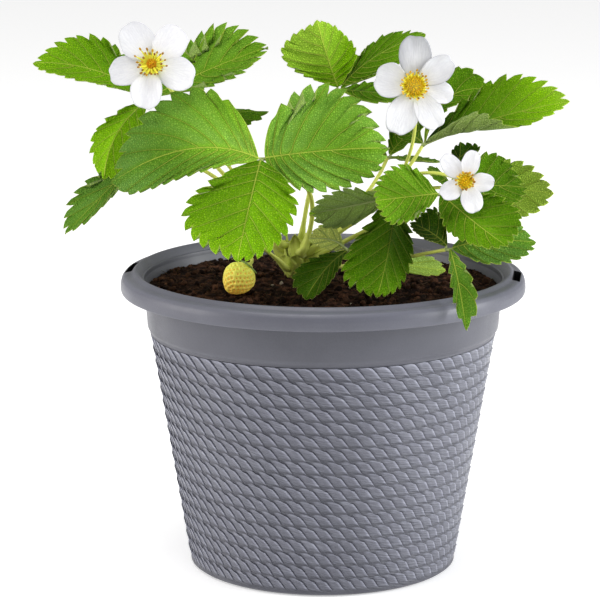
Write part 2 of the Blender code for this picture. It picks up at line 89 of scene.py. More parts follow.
def colour_property(name, description, default):
    """A colour that the user can pick."""
    return FloatVectorProperty(name=name, description=description, default=default,
                               subtype="COLOR", size=3, min=0.0, max=1.0)


def count_property(name, description, default, low=0):
    """A whole number, no smaller than low."""
    return IntProperty(name=name, description=description, default=default, min=low)


def length_property(name, description, default):
    """A length in metres."""
    return FloatProperty(name=name, description=description, default=default, min=0.0,
                         unit="LENGTH", subtype="DISTANCE", precision=4)


# Sizes and colours

class PotSettings(bpy.types.PropertyGroup):
    """Sizes and colour of the pot."""
    rope_rows: count_property("Rope rows", "Rows of rope around the body", 17, 1)
    strands: count_property("Strands", "Strands of each rope row in one turn", 72, 8)
    rope_foot: length_property("Rope foot", "Height of the lowest rope row's lower edge", 0.0026)
    rope_top: length_property("Rope top", "Height of the highest rope row's upper edge", 0.1177)
    rope_relief: length_property("Rope relief", "Height of the ledge between two rows", 0.0007)
    strand_groove: length_property("Strand groove", "Depth of the groove between strands", 0.0009)
    colour: colour_property("Plastic", "Colour of the plastic", (0.112, 0.115, 0.143))
    worn_colour: colour_property("Worn plastic", "Colour where the plastic is scuffed",
                                 (0.200, 0.208, 0.245))


class SoilSettings(bpy.types.PropertyGroup):
    """Sizes and colours of the soil."""
    mound: length_property("Mound", "How far the soil rises around the crown", 0.0025)
    roughness: length_property("Lumpiness", "Height of the fine lumps", 0.0021)
    crumbs: count_property("Crumbs", "Loose crumbs of peat", 1500)
    fibres: count_property("Fibres", "Loose peat fibres", 620)
    perlite: count_property("Perlite", "Pale grains of perlite", 16)
    colour: colour_property("Peat", "Colour of the damp peat", (0.0105, 0.0038, 0.0020))
    dry_colour: colour_property("Dry peat", "Colour of the dry flecks", (0.190, 0.085, 0.048))


class LeafSettings(bpy.types.PropertyGroup):
    """Sizes and colours of the leaves."""
    teeth: count_property("Teeth", "Teeth on each half of a middling leaflet", 9, 3)
    fringe: count_property("Fringe", "Hairs on the margin of a leaflet", 110)
    thickness: length_property("Blade thickness", "Thickness of a leaflet", 0.00036)
    pleat: length_property("Pleat height", "Rise of the blade between two side veins", 0.0012)
    tooth: FloatProperty(name="Tooth depth", description="Depth of a tooth as a share of the half width",
                         default=0.14, min=0.0, max=0.5)
    # The four greens are picked by each leaflet's tone; the dark ones also serve as painted shade for
    # leaflets in the shade of others, the light ones as painted light for lit leaflets.
    dark: colour_property("Dark green", "Old leaves in the shade", (0.015, 0.044, 0.0010))
    green: colour_property("Leaf green", "Most leaves", (0.116, 0.292, 0.0020))
    light: colour_property("Light green", "Leaves in the sun", (0.315, 0.670, 0.0035))
    young: colour_property("Young green", "Newly opened leaves", (0.600, 0.800, 0.120))
    vein: colour_property("Vein", "Veins of the upper side", (0.660, 0.800, 0.100))
    # The upper side of some leaflets is paled towards this colour as a painted sheen, most on the raised
    # pleats between the veins.
    painted_sheen: colour_property("Bloom", "Pale bloom between the veins", (0.340, 0.600, 0.215))
    under: colour_property("Underside", "Lower side of the leaves", (0.420, 0.560, 0.135))


class FlowerSettings(bpy.types.PropertyGroup):
    """Sizes and colours of the flowers."""
    thickness: length_property("Petal thickness", "Thickness of a petal", 0.00030)
    stamens: count_property("Stamens", "Stamens of a flower", 30, 5)
    pistils: count_property("Pistils", "Pistils on the dome", 130, 10)
    petal: colour_property("Petal", "Colour of the petals", (0.900, 0.905, 0.925))
    shade: colour_property("Petal shade", "Faint lines and base of a petal", (0.700, 0.700, 0.770))
    pollen: colour_property("Anther", "Colour of the anthers", (0.260, 0.110, 0.015))
    pistil: colour_property("Pistil", "Colour of the pistils", (0.900, 0.700, 0.010))


class StemSettings(bpy.types.PropertyGroup):
    """Colours of the stems, the crown and the calyx."""
    hairs: count_property("Hairs", "Hairs on each stem", 150)
    colour: colour_property("Stem", "Colour of the stems", (0.800, 0.840, 0.150))
    base: colour_property("Stem base", "Colour of a stem's foot", (0.600, 0.660, 0.120))
    papery: colour_property("Stipule", "Colour of the papery stipules", (0.540, 0.630, 0.090))
    sepal: colour_property("Sepal", "Colour of the sepals", (0.330, 0.470, 0.090))


class FruitSettings(bpy.types.PropertyGroup):
    """Sizes and colours of the berry."""
    achenes: count_property("Achenes", "Seeds on the berry", 150, 10)
    dimple: length_property("Dimple", "Depth of the dimple around a seed", 0.00115)
    green: colour_property("Unripe side", "Colour near the calyx", (0.820, 0.860, 0.120))
    orange: colour_property("Ripening side", "Colour towards the tip", (0.900, 0.380, 0.060))
    seed: colour_property("Seed", "Colour of the seeds", (0.880, 0.400, 0.150))


class StageSettings(bpy.types.PropertyGroup):
    """Camera, floor and lights."""
    distance: length_property("Camera distance", "Distance in front of the pot's axis", 1.400)
    height: length_property("Camera height", "Height of the camera", 0.431)
    sideways: FloatProperty(name="Camera side", description="How far the camera stands to the left",
                            default=0.0114, unit="LENGTH")
    pitch: FloatProperty(name="Pitch", description="How far the camera looks down",
                         default=0.210, subtype="ANGLE", unit="ROTATION")
    lens: FloatProperty(name="Lens", description="Focal length in millimetres", default=173.3)
    floor: colour_property("Floor", "Colour of the floor", (0.90, 0.90, 0.90))


SETTINGS = {
    "strawberry_pot": PotSettings,
    "strawberry_soil": SoilSettings,
    "strawberry_leaf": LeafSettings,
    "strawberry_flower": FlowerSettings,
    "strawberry_stem": StemSettings,
    "strawberry_fruit": FruitSettings,
    "strawberry_stage": StageSettings,
}


# Small tools

def seeded(name):
    """Random draws that are the same in every run, with their own row for each name."""
    return np.random.default_rng(zlib.crc32(name.encode()))


def unit(vectors):
    """Vectors of length one."""
    vectors = np.asarray(vectors, float)
    return vectors / np.maximum(np.linalg.norm(vectors, axis=-1, keepdims=True), 1e-12)


def smooth_step(values, low, high):
    """0 below low, 1 above high and a smooth ramp between them."""
    share = np.clip((np.asarray(values, float) - low) / (high - low), 0.0, 1.0)
    return share * share * (3 - 2 * share)


def smooth_curve(x, xs, ys):
    """Cubic curve through the points (xs, ys)."""
    slopes = np.gradient(ys, xs)
    i = np.clip(np.searchsorted(xs, x) - 1, 0, len(xs) - 2)
    width = xs[i + 1] - xs[i]
    t = (x - xs[i]) / width
    return (ys[i] * (2 * t ** 3 - 3 * t ** 2 + 1) + slopes[i] * width * (t ** 3 - 2 * t ** 2 + t)
            + ys[i + 1] * (3 * t ** 2 - 2 * t ** 3) + slopes[i + 1] * width * (t ** 3 - t ** 2))


def lengths_along(points):
    """Distance of each point of a line from its start, measured along it."""
    return np.append(0, np.cumsum(np.linalg.norm(np.diff(points, axis=0), axis=1)))


def resampled(points, count):
    """count points, evenly spaced, on a smooth curve through the given ones."""
    points = np.asarray(points, float)
    along = lengths_along(points)
    wanted = np.linspace(0, along[-1], count)
    return np.stack([smooth_curve(wanted, along, points[:, axis]) for axis in range(3)], 1)


def facing_frame(normal, up=(0, 0, 1)):
    """Right, up and front axes of something that faces along normal."""
    front = unit(normal)
    right = unit(np.cross(up, front))
    return right, np.cross(front, right), front


def deselect_all():
    """Leave nothing selected."""
    if bpy.context.object and bpy.context.object.mode != "OBJECT":
        bpy.ops.object.mode_set(mode="OBJECT")
    bpy.ops.object.select_all(action="DESELECT")


def added(primitive, **settings):
    """The object that one of Blender's primitives makes, with nothing else selected."""
    deselect_all()
    primitive(**settings)
    return bpy.context.object


def make_active(piece):
    """Select one object only."""
    deselect_all()
    piece.select_set(True)
    bpy.context.view_layer.objects.active = piece


def coordinates(piece):
    """The places of a mesh's vertices."""
    flat = np.empty(len(piece.data.vertices) * 3)
    piece.data.vertices.foreach_get("co", flat)
    return flat.reshape(-1, 3)


def set_coordinates(piece, points):
    """Move every vertex of a mesh."""
    piece.data.vertices.foreach_set("co", np.asarray(points, float).ravel())
    piece.data.update()


def set_attribute(piece, name, values, kind="FLOAT"):
    """Store one number, or one vector, for each vertex."""
    made = piece.data.attributes.new(name, kind, "POINT")
    key = "vector" if kind == "FLOAT_VECTOR" else "value"
    made.data.foreach_set(key, np.asarray(values, float).ravel())


def set_uv(piece, flat):
    """Store a UV map from one (u, v) pair for each vertex."""
    corner = np.empty(len(piece.data.loops), int)
    piece.data.loops.foreach_get("vertex_index", corner)
    layer = piece.data.uv_layers.new(name="surface")
    layer.data.foreach_set("uv", np.asarray(flat, float)[corner].ravel())


def mesh_piece(name, points, faces):
    """A new object from vertices and faces, smooth all over."""
    mesh = bpy.data.meshes.new(name)
    mesh.from_pydata(np.asarray(points, float).tolist(), [], faces)
    mesh.shade_smooth()
    piece = bpy.data.objects.new(name, mesh)
    bpy.context.collection.objects.link(piece)
    return piece


def sheet_faces(rows, columns):
    """Quads of a grid of rows by columns of vertices."""
    corner = np.arange(rows * columns).reshape(rows, columns)
    quads = np.stack([corner[:-1, :-1], corner[:-1, 1:], corner[1:, 1:], corner[1:, :-1]], -1)
    return quads.reshape(-1, 4).tolist()


def tube(name, path, radii, sides, up=(0, 0, 1), groove=0.0):
    """A tube along a path, with flat ends.  A groove is a shallow channel along its upper side."""
    path = np.asarray(path, float)
    ahead = unit(np.gradient(path, axis=0))
    side = unit(np.cross(np.broadcast_to(up, ahead.shape), ahead))
    above = np.cross(ahead, side)
    turn = 2 * np.pi * np.arange(sides) / sides
    dip = 1 - groove * np.exp(-((np.angle(np.exp(1j * (turn - np.pi / 2)))) / 0.45) ** 2)
    reach = np.asarray(radii, float)[:, None] * dip[None, :]
    rings = (path[:, None] + side[:, None] * (np.cos(turn) * reach)[..., None]
             + above[:, None] * (np.sin(turn) * reach)[..., None])
    last = (len(path) - 1) * sides
    faces = []
    for start in range(0, last, sides):
        for here in range(sides):
            beside = (here + 1) % sides
            faces.append((start + here, start + beside, start + sides + beside, start + sides + here))
    faces += [tuple(range(sides - 1, -1, -1)), tuple(range(last, last + sides))]
    return mesh_piece(name, rings.reshape(-1, 3), faces)


def finish_mesh(piece, merge, outwards=True):
    """Merge doubles and turn all faces outwards, with the operators of edit mode."""
    make_active(piece)
    bpy.ops.object.mode_set(mode="EDIT")
    bpy.ops.mesh.select_all(action="SELECT")
    bpy.ops.mesh.remove_doubles(threshold=merge)
    if outwards:
        bpy.ops.mesh.normals_make_consistent(inside=False)
    bpy.ops.object.mode_set(mode="OBJECT")


def apply_modifier(piece, kind, name, **settings):
    """Add one modifier with its settings and apply it."""
    make_active(piece)
    modifier = piece.modifiers.new(name, kind)
    for key, value in settings.items():
        setattr(modifier, key, value)
    bpy.ops.object.modifier_apply(modifier=modifier.name)


def join(pieces, name):
    """Join pieces to the first one."""
    deselect_all()
    for piece in pieces:
        piece.select_set(True)
    bpy.context.view_layer.objects.active = pieces[0]
    if len(pieces) > 1:
        bpy.ops.object.join()
    pieces[0].name = name
    pieces[0].data.name = name
    return pieces[0]


def sharpen(piece, degrees):
    """Keep the edges that fold by more than so many degrees sharp."""
    make_active(piece)
    bpy.ops.object.shade_smooth_by_angle(angle=math.radians(degrees))


def remove(*helpers):
    """Remove helper objects and their meshes."""
    for helper in helpers:
        mesh = helper.data
        bpy.data.objects.remove(helper)
        bpy.data.meshes.remove(mesh)


def scatter(name, shapes, places, tones, picks=None):
    """One mesh that holds a copy of a shape at each place (a 4 x 4 matrix).

    picks gives the number of each copy's shape, and without it the first one is copied.
    """
    forms = [(coordinates(shape), [tuple(p.vertices) for p in shape.data.polygons]) for shape in shapes]
    if picks is None:
        picks = [0] * len(places)
    points, faces, tone = [], [], []
    for place, pick, value in zip(places, picks, tones):
        corners, sides = forms[pick]
        faces += [tuple(len(tone) + i for i in side) for side in sides]
        points.append(corners @ place[:3, :3].T + place[:3, 3])
        tone += [value] * len(corners)
    piece = mesh_piece(name, np.concatenate(points), faces)
    set_attribute(piece, "tone", tone)
    return piece


def placing(centre, right, front, scale):
    """A 4 x 4 matrix from a place, two axes at right angles and a scale for all or each of three."""
    place = np.eye(4)
    place[:3, :3] = np.stack([right, np.cross(front, right), front], 1) * scale
    place[:3, 3] = centre
    return place


def settle(piece, *nodes, slot):
    """Make a finished piece ride on the body and stand for its CAD nodes, which are hidden. Its slot is not
    used.
    """
    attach(piece, BODY)
    if nodes:
        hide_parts(*nodes)
    return piece


def paint(piece, *names):
    """Give a piece its materials, by name and in order."""
    for name in names:
        piece.data.materials.append(bpy.data.materials[name])


# Node tools

SOCKET_KINDS = {True: "NodeSocketColor", False: "NodeSocketFloat"}


def feed(tree, socket, value):
    """Link a socket to another one, or give it a value."""
    if isinstance(value, bpy.types.NodeSocket):
        tree.links.new(value, socket)
    elif socket.type == "RGBA":
        socket.default_value = (*value, 1.0)
    else:
        socket.default_value = value


def put(tree, kind, inputs=None, **settings):
    """Add a node.  inputs gives values, or sockets to link from, by socket name or number."""
    made = tree.nodes.new(kind)
    for key, value in settings.items():
        setattr(made, key, value)
    for key, value in (inputs or {}).items():
        feed(tree, made.inputs[key], value)
    return made


def mix_colours(tree, share, first, second, blend="MIX"):
    """A mix of two colours."""
    return put(tree, "ShaderNodeMix", {0: share, 6: first, 7: second}, data_type="RGBA",
               blend_type=blend).outputs[2]


def tinted(tree, colour, tint):
    """A colour multiplied by another one."""
    return mix_colours(tree, 1.0, colour, tint, "MULTIPLY")


def reckon(tree, operation, first, second, clamp=False):
    """One step of arithmetic."""
    return put(tree, "ShaderNodeMath", {0: first, 1: second}, operation=operation,
               use_clamp=clamp).outputs[0]


def times(tree, first, second):
    """The product of two values."""
    return reckon(tree, "MULTIPLY", first, second)


def ramp(tree, value, low, high, start=0.0, end=1.0):
    """start below low, end above high and a smooth ramp between them."""
    return put(tree, "ShaderNodeMapRange", {0: value, 1: low, 2: high, 3: start, 4: end},
               interpolation_type="SMOOTHSTEP").outputs[0]


def ramp_down(tree, value, width):
    """1 where value is 0, falling smoothly to 0 at width."""
    return ramp(tree, value, 0.0, width, 1.0, 0.0)


def noise_at(tree, place, scale, detail, roughness):
    """Fractal noise at a place."""
    return put(tree, "ShaderNodeTexNoise", {"Vector": place, "Scale": scale, "Detail": detail,
                                            "Roughness": roughness}).outputs["Fac"]


def cell_edge(tree, place, scale, randomness):
    """Distance from the nearest edge in a net of cells."""
    return put(tree, "ShaderNodeTexVoronoi", {"Vector": place, "Scale": scale, "Randomness": randomness},
               feature="DISTANCE_TO_EDGE").outputs["Distance"]


def start_group(name, inputs, outputs):
    """A shader node group.  Returns its tree, its inputs and its output node.

    inputs gives the default of each socket, a colour or a number.  Of the outputs, only
    "Colour" is a colour.
    """
    tree = bpy.data.node_groups.new(name, "ShaderNodeTree")
    for label, default in inputs.items():
        colour = isinstance(default, tuple)
        socket = tree.interface.new_socket(name=label, in_out="INPUT", socket_type=SOCKET_KINDS[colour])
        socket.default_value = (*default, 1.0) if colour else default
    for label in outputs:
        tree.interface.new_socket(name=label, in_out="OUTPUT", socket_type=SOCKET_KINDS[label == "Colour"])
    return tree, tree.nodes.new("NodeGroupInput").outputs, tree.nodes.new("NodeGroupOutput")


def give_out(tree, out, *values):
    """Link values to the sockets of a group's output node, in their order."""
    for socket, value in zip(out.inputs, values):
        tree.links.new(value, socket)


def place_group(tree, name, inputs):
    """Put a node group in a material."""
    return put(tree, "ShaderNodeGroup", inputs, node_tree=bpy.data.node_groups[name]).outputs


def build_mottle_group():
    """Soft uneven patches of a second colour, with finer specks inside them."""
    tree, given, out = start_group(
        "Mottle", {"Colour": (0.5, 0.5, 0.5), "Second Colour": (0.4, 0.4, 0.4), "Scale": 60.0,
                   "Speck Scale": 900.0, "Amount": 0.6}, ("Colour", "Mask", "Height"))
    place = put(tree, "ShaderNodeTexCoord").outputs["Object"]
    patches = noise_at(tree, place, given["Scale"], 3.0, 0.55)
    specks = noise_at(tree, place, given["Speck Scale"], 2.0, 0.6)
    both = reckon(tree, "ADD", times(tree, patches, 0.62), times(tree, specks, 0.38))
    mask = ramp(tree, both, 0.36, 0.66)
    share = times(tree, mask, given["Amount"])
    give_out(tree, out, mix_colours(tree, share, given["Colour"], given["Second Colour"]), mask, specks)


def build_veining_group():
    """Veins of a leaf blade: midrib, side veins and the fine net between them, with painted shade in the
    valleys beside the veins and in the net's creases, and a painted sheen on the net's cells.

    The piece's "veins" attribute holds the distances, in millimetres, from the nearest side
    vein, from the midrib and from the margin.
    """
    tree, given, out = start_group(
        "Leaf veining", {"Blade Colour": (0.1, 0.3, 0.02), "Vein Colour": (0.4, 0.5, 0.1),
                         "Side Vein Width": 0.42, "Midrib Width": 0.75, "Net Amount": 0.30,
                         "Vein Amount": 0.75}, ("Colour", "Height"))
    stored = put(tree, "ShaderNodeAttribute", attribute_name="veins").outputs["Vector"]
    from_side, from_midrib, from_margin = put(tree, "ShaderNodeSeparateXYZ", {0: stored}).outputs
    side = ramp_down(tree, from_side, given["Side Vein Width"])
    midrib = ramp_down(tree, from_midrib, given["Midrib Width"])
    margin = times(tree, ramp_down(tree, from_margin, 0.35), 0.55)
    place = put(tree, "ShaderNodeTexCoord").outputs["Object"]
    net = cell_edge(tree, place, 900.0, 0.9)
    web = times(tree, ramp_down(tree, cell_edge(tree, place, 420.0, 0.8), 0.07), given["Net Amount"])
    main = reckon(tree, "MAXIMUM", times(tree, side, given["Vein Amount"]), times(tree, midrib, 0.80))
    mask = reckon(tree, "MAXIMUM", reckon(tree, "MAXIMUM", main, web), margin, clamp=True)
    # Painted shade in the valleys beside the side veins and the midrib.
    painted_valley_shade = reckon(tree, "MAXIMUM", ramp_down(tree, from_side, 1.10), ramp_down(tree, from_midrib, 1.3))
    blade = given["Blade Colour"]
    # Painted shade in the net's creases and a bluish painted sheen on its cells.
    net_shade_and_sheen = mix_colours(tree, times(tree, ramp_down(tree, net, 0.32), 0.85),
                          tinted(tree, blade, (1.14, 1.10, 1.3)), tinted(tree, blade, (0.58, 0.66, 0.5)))
    shaded = mix_colours(tree, times(tree, painted_valley_shade, 0.62), net_shade_and_sheen,
                         tinted(tree, net_shade_and_sheen, (0.45, 0.52, 0.40)))
    puffs = times(tree, reckon(tree, "MINIMUM", net, 0.35), 2.4)
    height = reckon(tree, "SUBTRACT", puffs, times(tree, side, 0.8))
    give_out(tree, out, mix_colours(tree, mask, shaded, given["Vein Colour"]), height)


def build_fibre_group():
    """Fine streaks along the first direction of the surface map."""
    tree, given, out = start_group(
        "Fine fibres", {"Colour": (0.5, 0.5, 0.5), "Streak Colour": (0.4, 0.4, 0.4), "Along": 60.0,
                        "Across": 2000.0, "Slope": 0.0, "Amount": 0.5}, ("Colour", "Streaks"))
    surface = put(tree, "ShaderNodeUVMap", uv_map="surface").outputs[0]
    u, v, _ = put(tree, "ShaderNodeSeparateXYZ", {0: surface}).outputs
    leaning = reckon(tree, "ADD", v, times(tree, u, given["Slope"]))
    stretched = put(tree, "ShaderNodeCombineXYZ", {0: times(tree, u, given["Along"]),
                                                   1: times(tree, leaning, given["Across"])}).outputs[0]
    mask = ramp(tree, noise_at(tree, stretched, 1.0, 2.5, 0.55), 0.38, 0.64)
    share = times(tree, mask, given["Amount"])
    give_out(tree, out, mix_colours(tree, share, given["Colour"], given["Streak Colour"]), mask)


# Materials

def start_material(name, roughness, **shader_values):
    """A material with a Principled shader.  shader_values are set on the shader's own sockets."""
    material = bpy.data.materials.new(name)
    material.use_nodes = True
    shader = material.node_tree.nodes["Principled BSDF"]
    shader.inputs["Roughness"].default_value = roughness
    for key, value in shader_values.items():
        shader.inputs[key.replace("_", " ")].default_value = value
    return material.node_tree, shader


def finish_material(tree, shader, colour, height, strength, distance):
    """Feed the shader its colour and the relief of its surface."""
    feed(tree, shader.inputs["Base Color"], colour)
    bump = put(tree, "ShaderNodeBump", {"Strength": strength, "Distance": distance, "Height": height})
    feed(tree, shader.inputs["Normal"], bump.outputs["Normal"])


def attribute(tree, name):
    """The value of one of the piece's attributes."""
    return put(tree, "ShaderNodeAttribute", attribute_name=name).outputs["Fac"]


def scaled(colour, factor):
    """A colour made darker or lighter."""
    return tuple(factor * part for part in colour)


def shades(tree, value, colours):
    """A colour ramp with evenly spaced colours."""
    made = put(tree, "ShaderNodeValToRGB", {0: value})
    elements = made.color_ramp.elements
    while len(elements) < len(colours):
        elements.new(0.5)
    for i, colour in enumerate(colours):
        elements[i].position = i / (len(colours) - 1)
        elements[i].color = (*colour, 1.0)
    return made.outputs[0]


def pot_plastic(settings):
    """Matt moulded plastic with fibre lines on the ropes. Its colour is scaled by painted shade in the
    grooves and slots and by painted highlights on the strand shoulders and along the rim's edge, where there
    is some wear as well.
    """
    tree, shader = start_material("Moulded pot plastic", 0.42)
    rope = attribute(tree, "rope")
    mottle = place_group(tree, "Mottle", {"Colour": settings.colour, "Scale": 38.0, "Amount": 0.8,
                                          "Second Colour": scaled(settings.colour, 0.86),
                                          "Speck Scale": 1400.0})
    fibre = place_group(tree, "Fine fibres", {"Colour": mottle["Colour"], "Slope": 0.16,
                                              "Streak Colour": settings.worn_colour,
                                              "Along": 60.0, "Across": 1250.0, "Amount": 0.30})
    ropes = mix_colours(tree, rope, mottle["Colour"], fibre["Colour"])
    # The attribute read here scales the colour: near black is painted shade, above 1 is a painted highlight.
    light = shades(tree, attribute(tree, "painted_light_and_wear"), [(v,) * 3 for v in (0.03, 0.62, 1.0, 1.75, 2.80)])
    rough = put(tree, "ShaderNodeMapRange", {0: mottle["Mask"], 3: 0.36, 4: 0.50}).outputs[0]
    feed(tree, shader.inputs["Roughness"], rough)
    height = reckon(tree, "ADD", times(tree, fibre["Streaks"], rope), times(tree, mottle["Height"], 0.10))
    finish_material(tree, shader, tinted(tree, ropes, light), height, 0.7, 0.0006)


def spotted_skin(name, colour, second, roughness=0.5, scale=700.0, amount=0.6, spots=None, fineness=4,
                 relief=(0.4, 0.0002), specular=0.2):
    """A small part with two shades, picked by its tone attribute and by fine mottling."""
    tree, shader = start_material(name, roughness, Specular_IOR_Level=specular)
    base = mix_colours(tree, attribute(tree, "tone"), colour, second)
    mottle = place_group(tree, "Mottle", {"Colour": base, "Second Colour": spots or second, "Scale": scale,
                                          "Speck Scale": scale * fineness, "Amount": amount})
    finish_material(tree, shader, mottle["Colour"], mottle["Height"], *relief)


def peat(name, damp, dry, scale, roughness=0.95):
    """Crumbly peat.  The tone attribute picks between its damp and its dry colour."""
    spotted_skin(name, damp, dry, roughness, scale, 0.7, spots=scaled(damp, 0.45), fineness=6,
                 relief=(0.8, 0.0006), specular=0.12)


def leaf_blade(name, settings, underside=False):
    """A hairy, net-veined blade. The tone attribute runs from old dark green to young green, and it also
    carries painted shade and light for each leaflet.
    """
    tree, shader = start_material(name, 0.62 if underside else 0.46,
                                  Sheen_Weight=0.12 if underside else 0.0,
                                  Specular_IOR_Level=0.15 if underside else 0.06)
    tone = attribute(tree, "tone")
    greens = [settings.dark, settings.green, settings.light, settings.young]
    if underside:
        greens = [tuple(0.72 * u + 0.28 * g for u, g in zip(settings.under, green)) for green in greens]
        greens[3] = (0.80, 0.86, 0.19)
        blade = shades(tree, tone, greens)
        vein_colour = settings.under
    else:
        # Painted sheen: the blade is paled towards the sheen colour where its attribute says.
        blade = mix_colours(tree, attribute(tree, "painted_sheen"), shades(tree, tone, greens), settings.painted_sheen)
        vein_colour = shades(tree, tone, [scaled(settings.vein, k) for k in (0.25, 0.75, 1.1, 1.3)])
    mottle = place_group(tree, "Mottle", {"Colour": blade, "Scale": 70.0, "Speck Scale": 1100.0,
                                          "Second Colour": tinted(tree, blade, (0.60, 0.68, 0.60)),
                                          "Amount": 0.34})
    veins = place_group(tree, "Leaf veining",
                        {"Blade Colour": mottle["Colour"], "Vein Colour": vein_colour,
                         "Side Vein Width": 0.55 if underside else 0.30,
                         "Net Amount": 0.42 if underside else 0.16,
                         "Midrib Width": 0.75 if underside else 0.60,
                         "Vein Amount": 0.85})
    finish_material(tree, shader, veins["Colour"], veins["Height"], 0.9, 0.00062)


def fibrous(tree, colour, streak, fibres, patches):
    """Colour and relief of a fibrous skin.  fibres and patches give the groups' other values."""
    fibre = place_group(tree, "Fine fibres", {"Colour": colour, "Streak Colour": streak, **fibres})
    mottle = place_group(tree, "Mottle", {"Colour": fibre["Colour"], **patches})
    return mottle["Colour"], fibre["Streaks"]


def stem_skin(name, colour, base, streak):
    """Smooth stem with fine lengthwise streaks, browner at its foot."""
    tree, shader = start_material(name, 0.50, Sheen_Weight=0.15, Sheen_Roughness=0.4)
    foot = ramp_down(tree, attribute(tree, "along"), 0.45)
    skin = fibrous(tree, mix_colours(tree, foot, colour, base), streak,
                   {"Along": 70.0, "Across": 2600.0, "Amount": 0.45},
                   {"Scale": 90.0, "Second Colour": streak, "Amount": 0.4})
    finish_material(tree, shader, *skin, 0.3, 0.0002)


def papery_skin(settings):
    """Dry brown-edged stipules."""
    tree, shader = start_material("Papery stipule", 0.75)
    skin = fibrous(tree, settings.papery, (0.56, 0.44, 0.12),
                   {"Along": 90.0, "Across": 1900.0, "Amount": 0.45},
                   {"Scale": 160.0, "Second Colour": (0.60, 0.72, 0.14), "Amount": 0.6})
    finish_material(tree, shader, *skin, 0.6, 0.0003)


def petal_skin(settings):
    """Satin white petal with faint veins that fan out from its claw, darkened where its tone attribute is
    high: painted shade on petals facing one side, and a darker rim.
    """
    tree, shader = start_material("White petal", 0.55, Sheen_Weight=0.25, Sheen_Roughness=0.45,
                                  Specular_IOR_Level=0.35)
    white, streaks = fibrous(tree, settings.petal, settings.shade,
                             {"Along": 5.0, "Across": 26.0, "Amount": 0.22},
                             {"Scale": 110.0, "Amount": 0.30, "Second Colour": settings.shade,
                              "Speck Scale": 1200.0})
    claw = times(tree, attribute(tree, "claw"), 0.75)
    greenish = mix_colours(tree, claw, white, (0.60, 0.66, 0.16))
    # The tone attribute darkens the petal: painted shade on petals facing one side, and a darker rim.
    painted_shade_and_rim = mix_colours(tree, attribute(tree, "tone"), greenish, (0.42, 0.43, 0.44), "MULTIPLY")
    finish_material(tree, shader, painted_shade_and_rim, streaks, 0.25, 0.0003)


def berry_skin(settings):
    """Unripe berry: green at its calyx and orange towards its tip, with a faint painted glow."""
    # Painted glow: the emission, fed below with the skin's own colour, makes the berry shine a little.
    tree, shader = start_material("Unripe berry", 0.38, Specular_IOR_Level=0.3, Emission_Strength=0.17)
    base = shades(tree, attribute(tree, "ripe"),
                  [settings.green, (0.98, 0.82, 0.13), (0.98, 0.60, 0.07), settings.orange])
    mottle = place_group(tree, "Mottle", {"Colour": base, "Second Colour": (0.95, 0.72, 0.16),
                                          "Scale": 160.0, "Amount": 0.20})
    feed(tree, shader.inputs["Emission Color"], mottle["Colour"])
    finish_material(tree, shader, mottle["Colour"], mottle["Height"], 0.25, 0.0002)


def build_materials(scene):
    """Build the shared node groups and then every material."""
    build_mottle_group()
    build_veining_group()
    build_fibre_group()
    leaf, flower, stem = scene.strawberry_leaf, scene.strawberry_flower, scene.strawberry_stem
    soil, fruit = scene.strawberry_soil, scene.strawberry_fruit
    pot_plastic(scene.strawberry_pot)
    peat("Damp peat", soil.colour, soil.dry_colour, 420.0)
    peat("Peat crumb", soil.colour, soil.dry_colour, 900.0)
    peat("Peat fibre", (0.055, 0.032, 0.020), (0.20, 0.125, 0.070), 700.0)
    peat("Perlite", (0.42, 0.35, 0.27), (0.22, 0.17, 0.12), 900.0, roughness=0.85)
    leaf_blade("Leaf upper side", leaf)
    leaf_blade("Leaf underside", leaf, underside=True)
    stem_skin("Stem skin", stem.colour, stem.base, (0.62, 0.70, 0.11))
    stem_skin("Midrib skin", (0.36, 0.45, 0.14), (0.40, 0.48, 0.16), (0.46, 0.52, 0.20))
    stem_skin("Sepal skin", stem.sepal, stem.sepal, (0.22, 0.34, 0.07))
    papery_skin(stem)
    petal_skin(flower)
    berry_skin(fruit)
    spotted_skin("Crown skin", (0.46, 0.56, 0.08), (0.36, 0.30, 0.08), 0.7, 260.0, 0.5)
    spotted_skin("Fine hair", (0.76, 0.82, 0.34), (0.66, 0.74, 0.24))
    spotted_skin("Pistil", flower.pistil, (0.75, 0.30, 0.01), 0.45, amount=0.35)
    spotted_skin("Flower dome", (0.66, 0.50, 0.05), (0.42, 0.34, 0.04), 0.55)
    spotted_skin("Filament", (0.88, 0.78, 0.05), (0.74, 0.72, 0.06))
    spotted_skin("Anther", flower.pollen, (0.88, 0.56, 0.04), 0.6, amount=0.2)
    spotted_skin("Achene", fruit.seed, (0.86, 0.56, 0.12), 0.4)


# Reading the frame

def merged_copy(node):
    """A merged copy of a CAD node, whose own mesh is loose triangles."""
    shape = bmesh.new()
    shape.from_mesh(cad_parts[node].data)
    bmesh.ops.remove_doubles(shape, verts=shape.verts, dist=1e-6)
    shape.verts.index_update()
    shape.faces.index_update()
    return shape


def hubs(shape):
    """Vertices at the middle of a fan of faces, the ones with the most edges."""
    most = max(len(v.link_edges) for v in shape.verts)
    return [v for v in shape.verts if len(v.link_edges) == most]


def rings_from(first, visited):
    """Layers of vertices: each one is what the last one's edges lead to."""
    layer = list(first)
    visited = set(layer) | set(visited)
    while layer:
        yield layer
        layer = sorted({e.other_vert(v) for v in layer for e in v.link_edges} - visited,
                       key=lambda v: v.index)
        visited |= set(layer)


def middle_of(vertices):
    """Mean place of some vertices."""
    return np.mean([v.co for v in vertices], axis=0)


